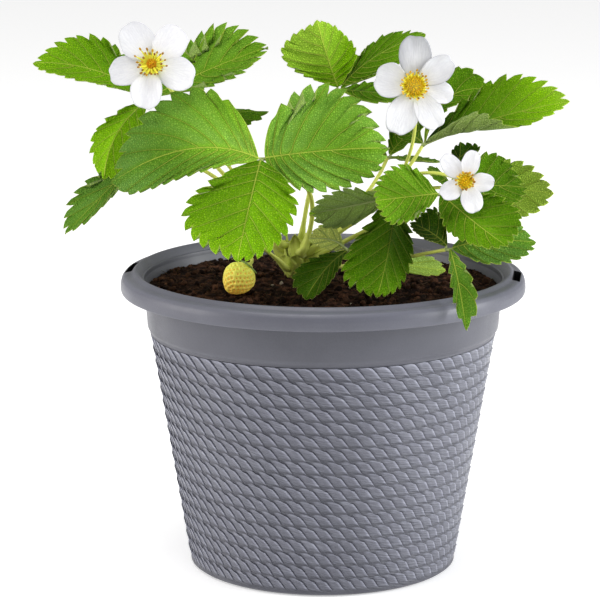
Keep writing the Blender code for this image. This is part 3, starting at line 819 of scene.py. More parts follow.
def petiole_path(name, sides=8):
    """Centre line of a CAD petiole, from the crown to its end."""
    shape = merged_copy(name)
    far = max(shape.verts, key=lambda v: (v.co - CROWN_FOOT).length)
    ring = sorted(shape.verts, key=lambda v: (v.co - far.co).length)[:sides]
    path = [middle_of(layer) for layer in rings_from(ring, [])]
    shape.free()
    return np.array(path[::-1])


STALK_RINGS = 11


def stalk_path(name):
    """Centre line of a CAD stalk, with the tips of the sepals around its end."""
    shape = merged_copy(name)
    shape.verts.ensure_lookup_table()
    start = min(hubs(shape), key=lambda v: (v.co - CROWN_FOOT).length)
    layers = list(rings_from([start], []))
    path = [middle_of(layer) for layer in layers[1:STALK_RINGS + 1]]
    star = layers[STALK_RINGS + 3]
    centre = middle_of(star)
    reach = sorted(star, key=lambda v: -(Vector(centre) - v.co).length)[:len(star) // 2]
    tips = np.array([v.co[:] for v in reach])
    shape.free()
    return np.array(path), tips


def corolla_frame(name):
    """Centre, axes and lobes (direction, length) of a CAD corolla."""
    shape = merged_copy(name + "_petals")
    ends = [np.array(v.co) for v in hubs(shape)]
    heart = np.array(sum(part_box(name + "_heart"), Vector()) / 2)
    ends.sort(key=lambda end: np.linalg.norm(end - heart))
    centre = (ends[0] + ends[-1]) / 2
    right, up, front = facing_frame(ends[0] - ends[-1])
    outline = {}
    for vertex in shape.verts:
        out = np.array(vertex.co) - centre
        flat = complex(out @ right, out @ up)
        if abs(flat) > MM:
            key = round(math.degrees(math.atan2(flat.imag, flat.real)), 1)
            outline[key] = max(outline.get(key, 0.0), abs(flat))
    shape.free()
    return centre, (right, up, front), lobes_of(sorted(outline.items()))


def lobes_of(outline):
    """Directions and lengths of the lobes of an outline of (degrees, radius) points.

    A lobe has four outer points, at -0.34, -0.12, 0.12 and 0.34 of the way to its neighbours.
    """
    count = len(outline)
    notches = [i for i in range(count)
               if outline[i][1] < 0.8 * min(outline[i - 1][1], outline[(i + 1) % count][1])]
    lobes = []
    for notch in notches:
        first = outline[(notch + 1) % count][0]
        second, length = outline[(notch + 2) % count]
        gap = ((second - first) % 360) / 0.22
        lobes.append((second + 0.12 * gap, length))
    return lobes


SIDE_FOLDS = (50, 60, 66, 70)
SIDE_VERTICES = 37
SIDE_INSIDE = 5
HALF_MARGIN = 15
RIB_STATIONS = np.array((0.0, 0.15, 0.3, 0.5, 0.7, 0.86, 1.0))
PLAIN_POINTS = (0, 1, 2, 4, 6, 8, 10, 12, 14)
PLAIN_STATIONS = np.array((0.0, 0.14, 0.26, 0.3925, 0.5025, 0.6125, 0.7225, 0.8325, 0.9425))
UPPER_FACING = Vector((0, -0.6, 0.8))
TURNED_OVER = ("leaf_11_left",)
SHEET_HALF = 0.0004


def side_groups(shape, fold):
    """Groups of faces that are joined across edges folding less than fold."""
    group_of = {}
    groups = []
    for face in shape.faces:
        if face in group_of:
            continue
        group = [face]
        group_of[face] = group
        for member in group:
            for edge in member.edges:
                if len(edge.link_faces) == 2 and edge.calc_face_angle() < fold:
                    for other in edge.link_faces:
                        if other not in group_of:
                            group_of[other] = group
                            group.append(other)
        groups.append(group)
    return groups


def leaflet_side(shape):
    """The faces of one side of a leaflet's thin sheet, the one that looks up and forwards."""
    for fold in SIDE_FOLDS:
        sides = []
        for group in side_groups(shape, math.radians(fold)):
            faces = set(group)
            points = {v for face in group for v in face.verts}
            inside = [v for v in points if all(f in faces for f in v.link_faces)]
            if len(points) == SIDE_VERTICES and len(inside) == SIDE_INSIDE:
                normal = sum((f.normal * f.calc_area() for f in group), Vector())
                sides.append((normal.dot(UPPER_FACING), faces, inside))
        if sides:
            return max(sides, key=lambda side: side[0])
    raise RuntimeError("a CAD leaflet has no side that can be told from its edge")


def read_leaflet(name, petiole_end):
    """Midrib and both margins of a CAD leaflet: a function of the station along the midrib,
    and for each half its direction and its reach at each station."""
    shape = merged_copy(name)
    facing, faces, inside = leaflet_side(shape)
    upper = (facing > 0) != (name in TURNED_OVER)
    follow = {}
    normals = {}
    for face in faces:
        for loop in face.loops:
            normals[loop.vert] = normals.get(loop.vert, Vector()) + face.normal * face.calc_area()
            if sum(f in faces for f in loop.edge.link_faces) == 1:
                follow[loop.vert] = loop.link_loop_next.vert

    def inner_place(vertex):
        return np.array(vertex.co - normals[vertex].normalized() * SHEET_HALF)

    near = sorted(follow, key=lambda v: (v.co - Vector(petiole_end)).length)[:3]
    base = next(v for v in near if follow[v] in near and any(follow[other] == v for other in near))
    loop = [base]
    while len(loop) < 2 * HALF_MARGIN + 2:
        loop.append(follow[loop[-1]])
    places = [inner_place(v) for v in loop]
    inner = sorted(inside, key=lambda v: (v.co - base.co).length)
    rib = np.array([places[0]] + [inner_place(v) for v in inner] + [places[HALF_MARGIN + 1]])
    first = places[1:HALF_MARGIN + 1]
    second = places[:HALF_MARGIN + 1:-1]
    shape.free()
    terms = np.stack([np.ones(7), RIB_STATIONS, RIB_STATIONS ** 2], 1)
    factors = np.linalg.lstsq(terms, rib, rcond=None)[0]

    def rib_at(u):
        u = np.asarray(u, float)[..., None]
        return factors[0] + factors[1] * u + factors[2] * u * u

    halves = {}
    for side, margin in (("left", second if upper else first), ("right", first if upper else second)):
        out = np.array([margin[i] for i in PLAIN_POINTS]) - rib_at(PLAIN_STATIONS)
        direction = unit(out[2:].sum(0))
        halves[side] = (direction, np.append(out @ direction, 0.0))
    return rib_at, halves


# Stage

def build_stage(settings):
    """Camera at its viewing angle, pale floor and soft studio light."""
    eye = (-settings.sideways, -settings.distance, settings.height)
    bpy.ops.object.camera_add(location=eye, rotation=(math.pi / 2 - settings.pitch, 0, 0))
    camera = bpy.context.object
    camera.name = "Camera"
    camera.data.lens = settings.lens
    camera.data.sensor_width = 36.0
    camera.data.clip_start = 0.05
    bpy.context.scene.camera = camera

    floor = added(bpy.ops.mesh.primitive_plane_add, size=12.0, location=(0, 0, 0))
    floor.name = "floor"
    tree, shader = start_material("Pale floor", 0.85, Emission_Strength=0.42)
    mottle = place_group(tree, "Mottle", {"Colour": settings.floor, "Scale": 3.0, "Amount": 0.15,
                                          "Second Colour": scaled(settings.floor, 0.97)})
    tree.links.new(mottle["Colour"], shader.inputs["Base Color"])
    shader.inputs["Emission Color"].default_value = (1.0, 1.0, 1.0, 1.0)
    paint(floor, "Pale floor")
    floor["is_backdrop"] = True

    lamps = (
        ("Top light", (-0.25, -0.30, 1.9), 0.9, 13.5, (1.0, 0.99, 0.97)),
        ("Right softbox", (1.55, -0.25, 0.6), 0.9, 23.5, (0.97, 0.985, 1.0)),
        ("Left softbox", (-1.6, -0.20, 0.6), 0.9, 14.0, (1.0, 0.965, 0.945)),
    )
    for name, place, size, power, colour in lamps:
        bpy.ops.object.light_add(type="AREA", location=place)
        lamp = bpy.context.object
        lamp.name = name
        lamp.data.energy = power
        lamp.data.size = size
        lamp.data.color = colour
        aim = Vector((0, 0, 0.15)) - Vector(place)
        lamp.rotation_euler = aim.to_track_quat("-Z", "Y").to_euler()
    world = bpy.data.worlds.new("Studio")
    world.use_nodes = True
    background = world.node_tree.nodes["Background"]
    background.inputs["Color"].default_value = (1.0, 1.0, 1.0, 1.0)
    background.inputs["Strength"].default_value = 0.47
    bpy.context.scene.world = world
    bpy.context.scene.view_settings.view_transform = "Standard"


# Pot

COLUMNS_PER_STRAND = 8
ROPE_LEAN = 9                   # columns that a groove leans over the height of one row
ROWS_PER_ROPE = 6
BODY_FOOT = (0.0668, 0.0035)    # radius and height where the body's cone starts
BODY_TOP = (0.0859, 0.1192)
BAND_FOOT = (0.0869, 0.1207)
BAND_TOP = (0.0882, 0.1385)
POT_WALL = 0.002
STRAND_STATIONS = np.array((0.0, 0.035, 0.11, 0.30, 0.52, 0.72, 0.86, 0.95))
STRAND_DEPTHS = np.array((1.0, 0.84, 0.50, 0.30, 0.16, 0.05, 0.0, 0.04))
# How light each station of a strand is painted: dark at its groove as painted shade, brightest at its
# shoulder as a painted highlight.
STRAND_PAINTED_LIGHT = np.array((0.36, 0.48, 0.55, 0.57, 0.57, 0.60, 0.84, 1.0))
ARCH = 0.36                     # how far a strand's end arches, as a share of the row's height
POT_FLOOR = 0.0025
HANGER_SLOT = (0.0036, 0.023, 0.020)
HANGER_RADIUS = 0.0957
HANGER_AXIS = math.radians(-6.5)
HANGER_TURNS = (HANGER_AXIS, HANGER_AXIS + math.pi)
DRAIN_SLOT = (0.012, 0.0035, 0.010)
DRAIN_RADIUS = 0.045
DRAIN_COUNT = 6
SOCKET_GROWTH = 0.0006          # how much wider a socket is than its slot
SOCKET_HEIGHT = 0.0056
SOCKET_DROP = 0.0058            # from the rim's top down to the middle of a socket
SOCKET_WALL = 0.0005


def cone_radius(z):
    """Radius of the pot's body at a height."""
    share = (np.asarray(z, float) - BODY_FOOT[1]) / (BODY_TOP[1] - BODY_FOOT[1])
    return BODY_FOOT[0] + share * (BODY_TOP[0] - BODY_FOOT[0])


def rounded(points, radius):
    """A profile with each corner turned into a small curve."""
    curve = [points[0]]
    for before, here, after in zip(points, points[1:], points[2:]):
        before, here, after = np.array(before), np.array(here), np.array(after)
        back, ahead = before - here, after - here
        reach = min(radius, 0.45 * np.linalg.norm(back), 0.45 * np.linalg.norm(ahead))
        start, end = here + unit(back) * reach, here + unit(ahead) * reach
        folded = unit(back) @ unit(ahead) > -0.8
        for t in (0.0, 0.5, 1.0) if folded else (0.0, 1.0):
            curve.append(tuple(start * (1 - t) ** 2 + here * 2 * t * (1 - t) + end * t * t))
    return curve + [points[-1]]


def pot_profile(settings):
    """The pot's section from the middle of its foot, up the outside and down the inside."""
    top = POT_HIGH.z
    outer = POT_HIGH.x
    inner = outer - 0.008
    foot = [(0.0, 0.0), (0.0632, 0.0), (0.0650, 0.0006), (0.0662, 0.0015)]
    heights = []
    pitch = (settings.rope_top - settings.rope_foot) / settings.rope_rows
    for row in range(settings.rope_rows):
        for step in range(ROWS_PER_ROPE):
            phi = -math.pi / 2 + math.pi * step / ROWS_PER_ROPE
            heights.append(settings.rope_foot + pitch * (row + (1 + math.sin(phi)) / 2))
    heights.append(settings.rope_top)
    ropes = [(float(cone_radius(z)), z) for z in heights]
    band = [(BODY_TOP[0] - 0.0004, settings.rope_top + 0.0005), (BODY_TOP[0] - 0.0004, 0.1193),
            BAND_FOOT, (BAND_FOOT[0] + 0.0006, 0.1290), BAND_TOP, (BAND_TOP[0], top - 0.0037)]
    rim = [(outer - 0.002, top - 0.0037), (outer - 0.002, BAND_TOP[1]), (outer - 0.0005, BAND_TOP[1]),
           (outer - 0.0001, BAND_TOP[1] + 0.0008), (outer, BAND_TOP[1] + 0.0030),
           (outer - 0.0003, top - 0.0048), (outer - 0.0011, top - 0.0030), (outer - 0.0026, top - 0.0019),
           (outer - 0.0044, top - 0.0018), (inner + 0.0022, top - 0.0013), (inner + 0.0010, top),
           (inner, top), (inner - 0.0011, top - 0.0011), (inner - 0.0030, top - 0.0040),
           (inner - 0.0045, top - 0.0075), (BAND_TOP[0] - POT_WALL, top - 0.0115)]
    inside = [(BAND_FOOT[0] - POT_WALL - 0.001, BAND_FOOT[1]),
              (BODY_FOOT[0] - POT_WALL, POT_FLOOR + 0.002),
              (BODY_FOOT[0] - POT_WALL - 0.002, POT_FLOOR), (0.0, POT_FLOOR)]
    upper = rounded([ropes[-1]] + band + rim + inside, 0.0011)
    return foot + ropes + upper[1:]


def spin_profile(name, profile, steps):
    """Extrude a line of points from one vertex and spin it around the pot's axis."""
    piece = added(bpy.ops.mesh.primitive_plane_add, size=MM, location=(profile[0][0], 0, profile[0][1]))
    piece.name = name
    bpy.ops.object.transform_apply(location=True)
    bpy.ops.object.mode_set(mode="EDIT")
    bpy.ops.mesh.select_mode(type="VERT")
    bpy.ops.mesh.select_all(action="SELECT")
    bpy.ops.mesh.merge(type="CENTER")
    for here, there in zip(profile, profile[1:]):
        step = (there[0] - here[0], 0, there[1] - here[1])
        bpy.ops.mesh.extrude_region_move(TRANSFORM_OT_translate={"value": step})
    bpy.ops.mesh.select_all(action="SELECT")
    bpy.ops.mesh.spin(steps=steps, angle=2 * math.pi, center=(0, 0, 0), axis=(0, 0, 1))
    finish_mesh(piece, 2e-6)
    return piece


def carve_ropes(pot, settings):
    """Turn and sink the body's vertices so that each row becomes a twisted rope."""
    points = coordinates(pot)
    radius = np.hypot(points[:, 0], points[:, 1])
    angle = np.arctan2(points[:, 1], points[:, 0])
    z = points[:, 2]
    pitch = (settings.rope_top - settings.rope_foot) / settings.rope_rows
    on_rope = ((np.abs(radius - cone_radius(z)) < 2e-5) & (z > settings.rope_foot - 1e-5)
               & (z < settings.rope_top + 1e-5))
    height = (z - settings.rope_foot) / pitch
    row = np.clip(np.floor(height + 1e-4), 0, settings.rope_rows - 1)
    phi = np.arcsin(np.clip(2 * (height - row) - 1, -1, 1))
    column = np.round(angle / (2 * np.pi) * settings.strands * COLUMNS_PER_STRAND)
    station = (column - ROPE_LEAN * row).astype(int) % COLUMNS_PER_STRAND
    phase = STRAND_STATIONS[station]
    rise = (1 + np.sin(phi)) / 2
    open_face = smooth_step(rise, 0.0, 0.42) * smooth_step(1 - rise, -0.05, 0.08)
    sink = settings.rope_relief * (1 - rise) ** 1.5
    sink += settings.strand_groove * STRAND_DEPTHS[station] * open_face
    warp = (phase - station / COLUMNS_PER_STRAND) * np.sqrt(np.cos(phi))
    lean = ROPE_LEAN / COLUMNS_PER_STRAND * (row + (phi + np.pi / 2) / np.pi)
    turned = angle + (warp - lean) * 2 * np.pi / settings.strands
    across = np.where(station == 0, 1.0, phase)
    arch = ARCH * (across ** 4 + 0.35 * (1 - across) ** 3 - 0.30) * np.sin(phi) ** 4
    arch[(row == 0) & (phi < 0)] = 0
    arch[height > settings.rope_rows - 0.5] = 0
    carved = radius - sink
    points[on_rope, 0] = (carved * np.cos(turned))[on_rope]
    points[on_rope, 1] = (carved * np.sin(turned))[on_rope]
    points[on_rope, 2] -= (arch * pitch)[on_rope]
    set_coordinates(pot, points)
    set_attribute(pot, "rope", on_rope.astype(float))
    on_rim = radius > BAND_TOP[0] + 0.0010
    edge = smooth_step(radius, POT_HIGH.x - 0.0040, POT_HIGH.x - 0.0006)
    edge *= smooth_step(z, POT_HIGH.z - 0.0045, POT_HIGH.z - 0.0015)
    # Painted light on the ropes: painted shade in the grooves, painted highlights on the strand shoulders and
    # along the top of each strand.
    tone = 0.36 + (STRAND_PAINTED_LIGHT[station] - 0.36) * smooth_step(open_face, 0.0, 0.5)
    tone += 0.20 * smooth_step(rise, 0.70, 0.93) * (station > 2)
    # Off the ropes the pot is painted darker than the rope faces as shade, a little lighter on the rim, and
    # lighter again along the rim's top edge as a painted highlight with some wear.
    set_attribute(pot, "painted_light_and_wear", np.where(on_rope, tone, 0.34 + 0.16 * on_rim + 0.12 * edge))


def map_around(pot):
    """A surface map with the distance around the pot and the height, in metres."""
    points = coordinates(pot)
    mesh = pot.data
    corner = np.empty(len(mesh.loops), int)
    mesh.loops.foreach_get("vertex_index", corner)
    turn = np.arctan2(points[:, 1], points[:, 0])[corner]
    starts = np.empty(len(mesh.polygons), int)
    totals = np.empty(len(mesh.polygons), int)
    mesh.polygons.foreach_get("loop_start", starts)
    mesh.polygons.foreach_get("loop_total", totals)
    first = np.repeat(turn[starts], totals)
    turn = first + (turn - first + np.pi) % (2 * np.pi) - np.pi
    flat = np.stack([turn * BODY_TOP[0], points[corner, 2]], 1)
    mesh.uv_layers.new(name="surface").data.foreach_set("uv", flat.ravel())


def around_axis(radius, turn, z):
    """A place at a radius and a turn around the pot's axis."""
    return radius * math.cos(turn), radius * math.sin(turn), z


def turned_box(size, centre, turn):
    """A box that is turned about its own upright axis."""
    box = added(bpy.ops.mesh.primitive_cube_add, size=1.0, location=centre, rotation=(0, 0, turn))
    box.scale = size
    bpy.ops.object.transform_apply(location=True, rotation=True, scale=True)
    return box


def cut_slot(pot, size, radius, turn, z):
    """Cut one slot through the pot."""
    cutter = turned_box(size, around_axis(radius, turn, z), turn)
    apply_modifier(pot, "BOOLEAN", "slot", operation="DIFFERENCE", solver="EXACT", object=cutter)
    remove(cutter)


def darken_slots(pot):
    """Give the walls of the two hanger slots the deepest painted shade."""
    points = coordinates(pot)
    out = points[:, 0] * math.cos(HANGER_AXIS) + points[:, 1] * math.sin(HANGER_AXIS)
    around = points[:, 1] * math.cos(HANGER_AXIS) - points[:, 0] * math.sin(HANGER_AXIS)
    inside = ((np.abs(np.abs(out) - HANGER_RADIUS) < HANGER_SLOT[0] / 2 + 2e-5)
              & (np.abs(around) < HANGER_SLOT[1] / 2 + 2e-5) & (points[:, 2] < POT_HIGH.z - 0.0022)
              & (points[:, 2] > POT_HIGH.z - HANGER_SLOT[2] / 2 - 1e-4))
    shade = np.empty(len(points))
    pot.data.attributes["painted_light_and_wear"].data.foreach_get("value", shade)
    shade[inside] = 0
    pot.data.attributes["painted_light_and_wear"].data.foreach_set("value", shade)


def build_sockets():
    """The two shallow sockets under the hanger slots, open at the top."""
    size = (HANGER_SLOT[0] + SOCKET_GROWTH, HANGER_SLOT[1] + SOCKET_GROWTH, SOCKET_HEIGHT)
    sockets = []
    for turn in HANGER_TURNS:
        socket = turned_box(size, around_axis(HANGER_RADIUS, turn, POT_HIGH.z - SOCKET_DROP), turn)
        shape = bmesh.new()
        shape.from_mesh(socket.data)
        bmesh.ops.delete(shape, geom=[f for f in shape.faces if f.normal.z > 0.9], context="FACES_ONLY")
        shape.to_mesh(socket.data)
        shape.free()
        apply_modifier(socket, "SOLIDIFY", "wall", thickness=SOCKET_WALL, offset=-1.0)
        sockets.append(socket)
    whole = join(sockets, "pot_hanger_sockets")
    # The sockets are painted in the deepest shade, like the walls of the slots, and carry no rope.
    for name in ("painted_light_and_wear", "rope"):
        set_attribute(whole, name, np.zeros(len(whole.data.vertices)))
    map_around(whole)
    paint(whole, "Moulded pot plastic")
    settle(whole, "pot", slot="pot")


def build_pot(settings):
    """The moulded pot with its rope relief, rim and slots."""
    steps = settings.strands * COLUMNS_PER_STRAND
    pot = spin_profile("pot_shell", pot_profile(settings), steps)
    carve_ropes(pot, settings)
    for turn in HANGER_TURNS:
        cut_slot(pot, HANGER_SLOT, HANGER_RADIUS, turn, POT_HIGH.z)
    for i in range(DRAIN_COUNT):
        cut_slot(pot, DRAIN_SLOT, DRAIN_RADIUS, 2 * math.pi * i / DRAIN_COUNT, 0)
    darken_slots(pot)
    map_around(pot)
    sharpen(pot, 40)
    paint(pot, "Moulded pot plastic")
    settle(pot, "pot", slot="pot")
    build_sockets()


# Soil

SOIL_RADIUS = 0.0868            # a little inside the pot's wall
SOIL_DEPTH = 0.012
SOIL_CELLS = 236
CROWN_SEAT = 0.012
MOUND_SPREAD = 0.030
CROWN_GAP = 0.0003
CRUMB_SHAPE = (1, 0.8, 0.6)
CRUMB_LUMPS = 0.16


def soil_height(x, y, settings):
    """Height of the soil at a place: the mound, its gentle lumps and the crumbly surface."""
    away = math.hypot(x - CROWN_AXIS.x, y - CROWN_AXIS.y)
    edge = CROWN_LOW.z - CROWN_GAP - settings.mound
    mound = settings.mound * math.exp(-((max(away - CROWN_SEAT, 0) / MOUND_SPREAD) ** 2))
    lumps = 0.0009 * noise.noise(Vector((x, y, 0)) * 90) * min(1.0, max(0.0, away / CROWN_SEAT - 1))
    place = Vector((x, y, 0.3))
    clods = noise.ridged_multi_fractal(place * 210, 0.9, 2.1, 3, 1.0, 2.0) - 1.1
    grains = noise.turbulence(place * 620, 3, True)
    return edge + mound + lumps + settings.roughness * (0.42 * clods + 0.55 * (grains - 0.5))


def build_soil_bed(settings):
    """The bed of peat: a grid that is trimmed round, roughened and closed underneath."""
    bed = added(bpy.ops.mesh.primitive_grid_add, x_subdivisions=SOIL_CELLS,
                y_subdivisions=SOIL_CELLS, size=2 * SOIL_RADIUS)
    bed.name = "soil_bed"
    shape = bmesh.new()
    shape.from_mesh(bed.data)
    bmesh.ops.delete(shape, geom=[v for v in shape.verts if v.co.xy.length > SOIL_RADIUS], context="VERTS")
    for vertex in shape.verts:
        if vertex.is_boundary:
            vertex.co.xy = vertex.co.xy.normalized() * SOIL_RADIUS
        vertex.co.z = soil_height(vertex.co.x, vertex.co.y, settings)
        vertex.select = vertex.is_boundary
    shape.select_mode = {"VERT"}
    shape.select_flush_mode()
    shape.to_mesh(bed.data)
    shape.free()
    make_active(bed)
    bpy.ops.object.mode_set(mode="EDIT")
    bpy.ops.mesh.select_mode(type="EDGE")
    bpy.ops.mesh.select_all(action="DESELECT")
    bpy.ops.mesh.select_non_manifold(extend=False)
    bpy.ops.mesh.extrude_region_move(TRANSFORM_OT_translate={"value": (0, 0, -SOIL_DEPTH)})
    bpy.ops.mesh.edge_face_add()
    bpy.ops.mesh.select_all(action="SELECT")
    bpy.ops.mesh.normals_make_consistent(inside=False)
    bpy.ops.object.mode_set(mode="OBJECT")
    points = coordinates(bed)
    dry = [0.5 + 0.9 * noise.noise(Vector(point) * 260) + 0.5 * noise.noise(Vector(point) * 900)
           for point in points]
    set_attribute(bed, "tone", np.clip(np.array(dry) - 0.34, 0, 1))
    sharpen(bed, 55)
    paint(bed, "Damp peat")
    settle(bed, "soil", slot="soil")


def crumb_shapes(draw):
    """Three lumpy grains, modelled once and copied."""
    shapes = []
    for _ in range(3):
        grain = added(bpy.ops.mesh.primitive_uv_sphere_add, segments=7, ring_count=5, radius=1.0)
        points = coordinates(grain)
        lumps = 1 + CRUMB_LUMPS * draw.normal(size=len(points))
        set_coordinates(grain, points * lumps[:, None] * CRUMB_SHAPE)
        shapes.append(grain)
    return shapes


def random_turn(draw):
    """Two random directions at right angles."""
    right = unit(draw.normal(size=3))
    return right, unit(np.cross(right, draw.normal(size=3)))


def soil_spot(draw, settings, inner=0.008, outer=0.0845):
    """A random place on the soil, outside the crown."""
    while True:
        radius = outer * math.sqrt(draw.random())
        turn = 2 * math.pi * draw.random()
        x, y = radius * math.cos(turn), radius * math.sin(turn)
        if math.hypot(x - CROWN_AXIS.x, y - CROWN_AXIS.y) > inner:
            return x, y, soil_height(x, y, settings)


def build_grains(name, settings, count, sizes, material, dry):
    """Loose grains strewn over the soil."""
    draw = seeded(name)
    shapes = crumb_shapes(draw)
    places, tones = [], []
    for _ in range(count):
        x, y, z = soil_spot(draw, settings)
        size = sizes[0] + (sizes[1] - sizes[0]) * draw.random() ** 3
        places.append(placing((x, y, z + 0.25 * size), *random_turn(draw), size))
        tones.append(dry * draw.random() ** 2)
    grains = scatter(name, shapes, places, tones, draw.integers(0, 3, count))
    remove(*shapes)
    paint(grains, material)
    settle(grains, slot="soil")


def fibre_shapes(draw):
    """Four thin bent fibres, modelled once and copied."""
    along = np.linspace(-1, 1, 7)
    radii = 0.035 * (1 - 0.7 * np.abs(along) ** 3)
    shapes = []
    for _ in range(4):
        path = np.stack([along, 0.22 * np.sin(2.2 * along + draw.normal()) * draw.uniform(0.3, 1.2),
                         0.16 * np.cos(1.9 * along + draw.normal())], 1)
        shapes.append(tube("fibre", path, radii, 3))
    return shapes


def build_fibres(settings):
    """Loose peat fibres and little roots on the soil."""
    draw = seeded("soil_fibres")
    shapes = fibre_shapes(draw)
    places, tones = [], []
    for _ in range(settings.fibres):
        x, y, z = soil_spot(draw, settings)
        turn = 2 * math.pi * draw.random()
        right = unit((math.cos(turn), math.sin(turn), draw.normal() * 0.28))
        front = unit(np.cross(right, (math.sin(turn), -math.cos(turn), 0.2)))
        length = 0.0016 + 0.0052 * draw.random() ** 2
        thick = length * (0.5 + 0.6 * draw.random())
        places.append(placing((x, y, z + 0.0004), right, front, (length, thick, thick)))
        tones.append(draw.random() ** 1.5)
    fibres = scatter("soil_fibres", shapes, places, tones, draw.integers(0, 4, settings.fibres))
    remove(*shapes)
    paint(fibres, "Peat fibre")
    settle(fibres, slot="soil")


# Crown

CROWN_SUNK = 0.004              # how far the crown goes on below the soil
STIPULE_THICKNESS = 0.00018


def crown_radius(height):
    """Radius of the crown at a share of its height."""
    wide = (CROWN_HIGH.x - CROWN_LOW.x) / 2
    return wide * np.interp(height, (0, 0.17, 0.45, 0.74, 0.94, 1.0), (0.88, 1.0, 0.94, 0.82, 0.55, 0.12))


def build_crown():
    """The knobby crown, with the scars of old leaves around it."""
    height = CROWN_HIGH.z - CROWN_LOW.z
    profile = [(0.0, CROWN_LOW.z - CROWN_SUNK)]
    profile += [(float(crown_radius(t)), CROWN_LOW.z + height * t) for t in np.linspace(0, 0.97, 26)]
    profile[1] = (profile[1][0], CROWN_LOW.z - CROWN_SUNK)
    profile.append((0.0, CROWN_HIGH.z))
    crown = spin_profile("crown_base", profile, 48)
    points = coordinates(crown)
    radius = np.hypot(points[:, 0], points[:, 1])
    turn = np.arctan2(points[:, 1], points[:, 0])
    share = (points[:, 2] - CROWN_LOW.z) / height
    knobs = 0.00065 * np.sin(5 * turn + 9 * share) + 0.0004 * np.abs(np.sin(14 * share + 2 * turn))
    grit = np.array([noise.noise(Vector(point) * 700) for point in points]) * 0.0004
    wider = (radius + (knobs + grit) * smooth_step(radius, 0, 0.002)) / np.maximum(radius, 1e-6)
    points[:, :2] = points[:, :2] * wider[:, None] + CROWN_AXIS.xy
    set_coordinates(crown, points)
    set_attribute(crown, "tone", np.clip(0.8 - share + 0.6 * np.sin(6 * turn), 0, 1))
    crown.data.shade_smooth()
    paint(crown, "Crown skin")
    settle(crown, "crown", slot="crown")


STIPULE_SCALE = 0.85
STIPULES = (
    # direction in degrees, foot as a share of the crown's height, length, half width, flare
    (-95, 0.02, 0.013, 34, 0.0042),
    (-60, 0.20, 0.017, 30, 0.0028),
    (-20, 0.05, 0.014, 36, 0.0050),
    (18, 0.25, 0.016, 30, 0.0030),
    (60, 0.10, 0.015, 36, 0.0040),
    (105, 0.15, 0.016, 32, 0.0034),
    (150, 0.05, 0.013, 38, 0.0052),
    (192, 0.22, 0.016, 32, 0.0036),
    (228, 0.04, 0.012, 36, 0.0050),
    (262, 0.30, 0.019, 28, 0.0022),
    (-38, 0.45, 0.016, 26, 0.0016),
    (170, 0.48, 0.015, 26, 0.0018),
)


def build_stipules():
    """Papery stipules that clasp the crown and the feet of the stems."""
    height = CROWN_HIGH.z - CROWN_LOW.z
    pieces = []
    t, v = np.meshgrid(np.linspace(0, 1, 15), np.linspace(-1, 1, 9), indexing="ij")
    for number, (turn, foot, length, half, flare) in enumerate(STIPULES):
        draw = seeded(f"stipule {number}")
        width = math.radians(half) * (1 - t ** 4) ** 0.6 * (0.75 + 0.5 * np.sin(np.pi * t) ** 2)
        length *= STIPULE_SCALE
        z = CROWN_LOW.z + height * foot + length * t
        clasp = crown_radius(np.clip(foot + length * t / height, 0, 0.9))
        curl = 0.35 * flare * t ** 2 + 0.0006 + 0.0005 * np.sin(7 * t + 5 * v + draw.random() * 6) * t
        curl += 0.0010 * v ** 2 * t
        radius = clasp + curl
        angle = math.radians(turn) + width * v * (1 + 0.12 * np.sin(5 * t + draw.random() * 6))
        x = CROWN_AXIS.x + radius * np.cos(angle)
        y = CROWN_AXIS.y + radius * np.sin(angle)
        blade = mesh_piece("stipule", np.stack([x, y, z], -1).reshape(-1, 3), sheet_faces(15, 9))
        set_uv(blade, np.stack([t * length, v * 0.004], -1).reshape(-1, 2))
        set_attribute(blade, "tone", (t ** 2).ravel())
        finish_mesh(blade, 1e-5)
        apply_modifier(blade, "SOLIDIFY", "paper", thickness=STIPULE_THICKNESS, offset=0.0)
        paint(blade, "Papery stipule")
        pieces.append(blade)
    rise = np.linspace(0, 1, 12)
    line = np.stack([np.full(12, CROWN_AXIS.x), np.full(12, CROWN_AXIS.y), CROWN_LOW.z + height * rise], 1)
    hairs = grow_hairs("crown_hair", line, crown_radius(0.9 * rise) + 0.0012, 420, 0.0013)
    stipules = join(pieces + [hairs], "crown_stipules")
    settle(stipules, slot="crown")


# Stems

STEM_RINGS = 30
STEM_SIDES = 12
SEPAL_ROWS = 12
SEPAL_COLUMNS = 7
CUP_RADII = np.array((0.8, 0.85, 0.9, 1.2, 1.7, 2.1, 2.3, 1.2)) * MM
SHEATH_LENGTH = 0.017
SHEATH_REACH = 0.0022           # how far a stem's foot reaches into the crown
PETIOLE_RADIUS = 0.0010
PETIOLE_GAIN = 0.0003           # how much stouter a long petiole is at its foot
PETIOLE_LONG = 0.08
PETIOLE_END = 0.0009
STALK_RADIUS = 0.00085
SEPAL_THICKNESS = 0.00028


def scatter_hairs(name, places, draw):
    """Hairs at the given places: long thin pyramids, modelled once and copied."""
    hair = added(bpy.ops.mesh.primitive_cone_add, vertices=3, radius1=0.055, radius2=0.0, depth=1.0)
    set_coordinates(hair, coordinates(hair) + (0, 0, 0.5))
    hairs = scatter(name, [hair], places, draw.random(len(places)))
    remove(hair)
    paint(hairs, "Fine hair")
    return hairs


